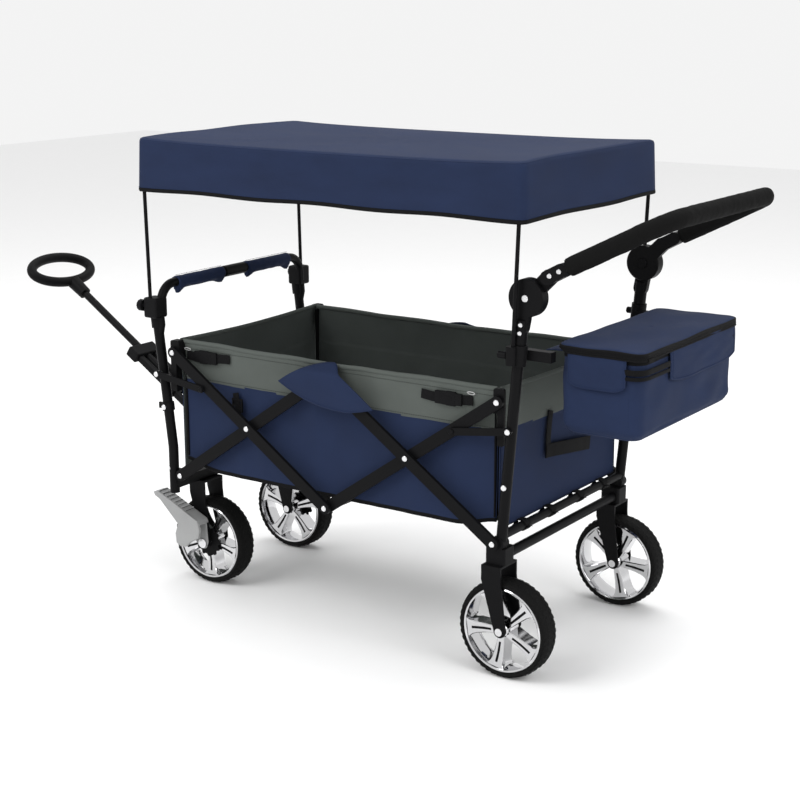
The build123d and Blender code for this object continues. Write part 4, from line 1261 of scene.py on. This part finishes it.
for end in ("front", "rear"):
    for side in ("near", "far"):
        node = f"tyre_{end}_{side}"
        low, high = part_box(node)
        centre = tuple((low + high) / 2)
        label = end.capitalize() + side.capitalize()
        tyrePiece(label, centre, f"{end}_wheel_{side}", node)
        rimPiece(label, centre, f"{end}_wheel_{side}", f"rim_{end}_{side}")
print("wagon: wheels made")


# Brake pedal and toothed disc
pedal = {"grooveShadeStrips": 8, "wall": 0.004, "bevel": 0.0048}


def brakePedal():
    low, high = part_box("brake_pedal")
    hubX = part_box("tyre_front_near")[0].x + wheel["radius"]
    shape = Shape()
    inner, outer = high.y, low.y

    def plate(points, y0, y1):
        count = len(points)
        verts = [(x, y, z) for y in (y0, y1) for x, z in points]
        faces = [tuple(range(count)), tuple(range(count, 2 * count)), *bridge(0, count, count)]
        shape.add(verts, faces)

    tipX, tipZ = low.x, high.z - 0.004
    heelX, heelZ = hubX + 0.012, 0.158
    top = [(tipX, tipZ), (tipX + 0.014, high.z), (heelX, heelZ + 0.004)]
    plate(top + [(heelX + 0.004, heelZ - 0.006), (heelX - 0.004, heelZ - 0.009),
                 (tipX + 0.004, tipZ - 0.009)], inner, outer + 0.002)
    cheek = top + [(heelX + 0.006, heelZ - 0.018), (heelX + 0.002, heelZ - 0.036), (hubX - 0.010, 0.108),
                   (hubX - 0.024, 0.095), (hubX - 0.040, 0.093), (hubX - 0.053, 0.100),
                   (hubX - 0.055, 0.122), (hubX - 0.047, 0.146), (tipX + 0.022, tipZ - 0.016)]
    plate(cheek, outer, outer + 2 * pedal["wall"])
    plate([(hubX - 0.06, 0.186), (hubX + 0.01, 0.158), (hubX + 0.0145, 0.104), (hubX + 0.008, 0.088),
           (hubX - 0.006, 0.086), (hubX - 0.02, 0.098)], inner, inner - pedal["wall"])
    piece = shape.piece("brakePedalBody", (palePlastic,))
    bevel = piece.modifiers.new("bevel", "BEVEL")
    bevel.width = pedal["bevel"]
    bevel.segments = 5
    bevel.limit_method = "ANGLE"
    hold(piece, "brake_pedal", "pale_plastic", "brake_pedal")
    # strips across the pedal top in dark grey: painted shade where the grooves are, copied in a row
    grooveShadeStrip = Shape()
    slope = math.atan2(heelZ - high.z, heelX - tipX - 0.014)
    grooveShadeStrip.block((0, 0, 0), (0.0015, abs(inner - outer) - 0.008, 0.0018), 0.0005,
              turn=Matrix.Rotation(-slope, 3, "Y"), segments=1)
    grooveShadeStrips = grooveShadeStrip.piece("brakePedalGrooveShade", (paintedGrooveShade,))
    middle = (inner + outer) / 2
    start = Vector((tipX + 0.018, middle, high.z))
    end = Vector((heelX - 0.035, middle, heelZ + 0.0055 + 0.035 * math.tan(-slope)))
    step = (end - start) / (pedal["grooveShadeStrips"] - 1)
    grow(grooveShadeStrips, inRow, {"Count": pedal["grooveShadeStrips"], "Start": tuple(start), "Step": tuple(step),
                       "Material": paintedGrooveShade})
    hold(grooveShadeStrips, "brake_pedal", "pale_plastic")


def brakeDiscs():
    # toothed discs on the front hubs that the brake locks into
    for side, label in ((-1, "near"), (1, "far")):
        low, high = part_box("rim_front_" + label)
        centre = (low + high) / 2
        shape = Shape()
        points = []
        for k in range(48):
            angle = 2 * math.pi * k / 48
            radius = 0.036 if k % 4 in (0, 1) else 0.031
            points.append((radius * math.cos(angle), radius * math.sin(angle)))
        y0 = side * (abs(centre.y) + 0.0205)
        y1 = side * (abs(centre.y) + 0.0245)
        count = len(points)
        verts = [(centre.x + a, y, centre.z + b) for y in (y0, y1) for a, b in points]
        verts += [(centre.x + a * 0.3, y, centre.z + b * 0.3) for y in (y0, y1) for a, b in points]
        faces = []
        for a, b in ((0, 1), (2, 3), (0, 2), (1, 3)):
            faces += bridge(a * count, b * count, count)
        shape.add(verts, faces)
        shape.held("brakeDisc" + label.capitalize(), (blackPlastic,), "front_wheel_" + label, "black_plastic")


brakePedal()
brakeDiscs()
print("wagon: brake made")

# Floor, light and camera
studio = {"camera": (tubHigh.x + 1.5819, -2.8777, 1.3276), "yaw": 0.6024, "pitch": 0.245, "roll": -0.003,
          "lens": 74.17, "floor": 9.0, "sky": 0.9}
lamps = (("keyLight", (-1.5, -3.2, 3.6), 2.6, 95), ("sideLight", (3.6, -0.8, 2.4), 2.0, 45),
         ("topLight", (0.2, 1.0, 4.2), 3.0, 80))      # name, place, size in metres, watts


def paleFloor():
    mesh = bpy.data.meshes.new("floor")
    reach = studio["floor"]
    corners = [(-reach, -reach, 0), (reach, -reach, 0), (reach, reach, 0), (-reach, reach, 0)]
    mesh.from_pydata(corners, [], [(0, 1, 2, 3)])
    floor = linkPiece("studioFloor", mesh)
    mesh.materials.append(hardMaterial("paleFloor", (0.9, 0.9, 0.9), 0.8, change=0.01, scuff=0.0))


def softLight(name, place, size, energy, aim=(0.1, 0, 0.5)):
    data = bpy.data.lights.new(name, "AREA")
    data.size, data.energy = size, energy
    lamp = bpy.data.objects.new(name, data)
    lamp.location = place
    lamp.rotation_euler = (Vector(aim) - Vector(place)).to_track_quat("-Z", "Y").to_euler()
    scene.collection.objects.link(lamp)


def studioSet():
    paleFloor()
    world = bpy.data.worlds.new("studio")
    world.use_nodes = True
    background = world.node_tree.nodes["Background"]
    background.inputs["Color"].default_value = (1, 1, 1, 1)
    background.inputs["Strength"].default_value = studio["sky"]
    scene.world = world
    scene.view_settings.view_transform = "Standard"
    for lamp in lamps:
        softLight(*lamp)
    data = bpy.data.cameras.new("camera")
    data.lens, data.sensor_width = studio["lens"], 36
    data.clip_end = 60
    camera = bpy.data.objects.new("camera", data)
    camera.matrix_world = (Matrix.Translation(studio["camera"]) @ Matrix.Rotation(studio["yaw"], 4, "Z")
                           @ Matrix.Rotation(math.pi / 2 - studio["pitch"], 4, "X")
                           @ Matrix.Rotation(studio["roll"], 4, "Z"))
    scene.collection.objects.link(camera)
    scene.camera = camera


studioSet()
print("wagon: studio set")
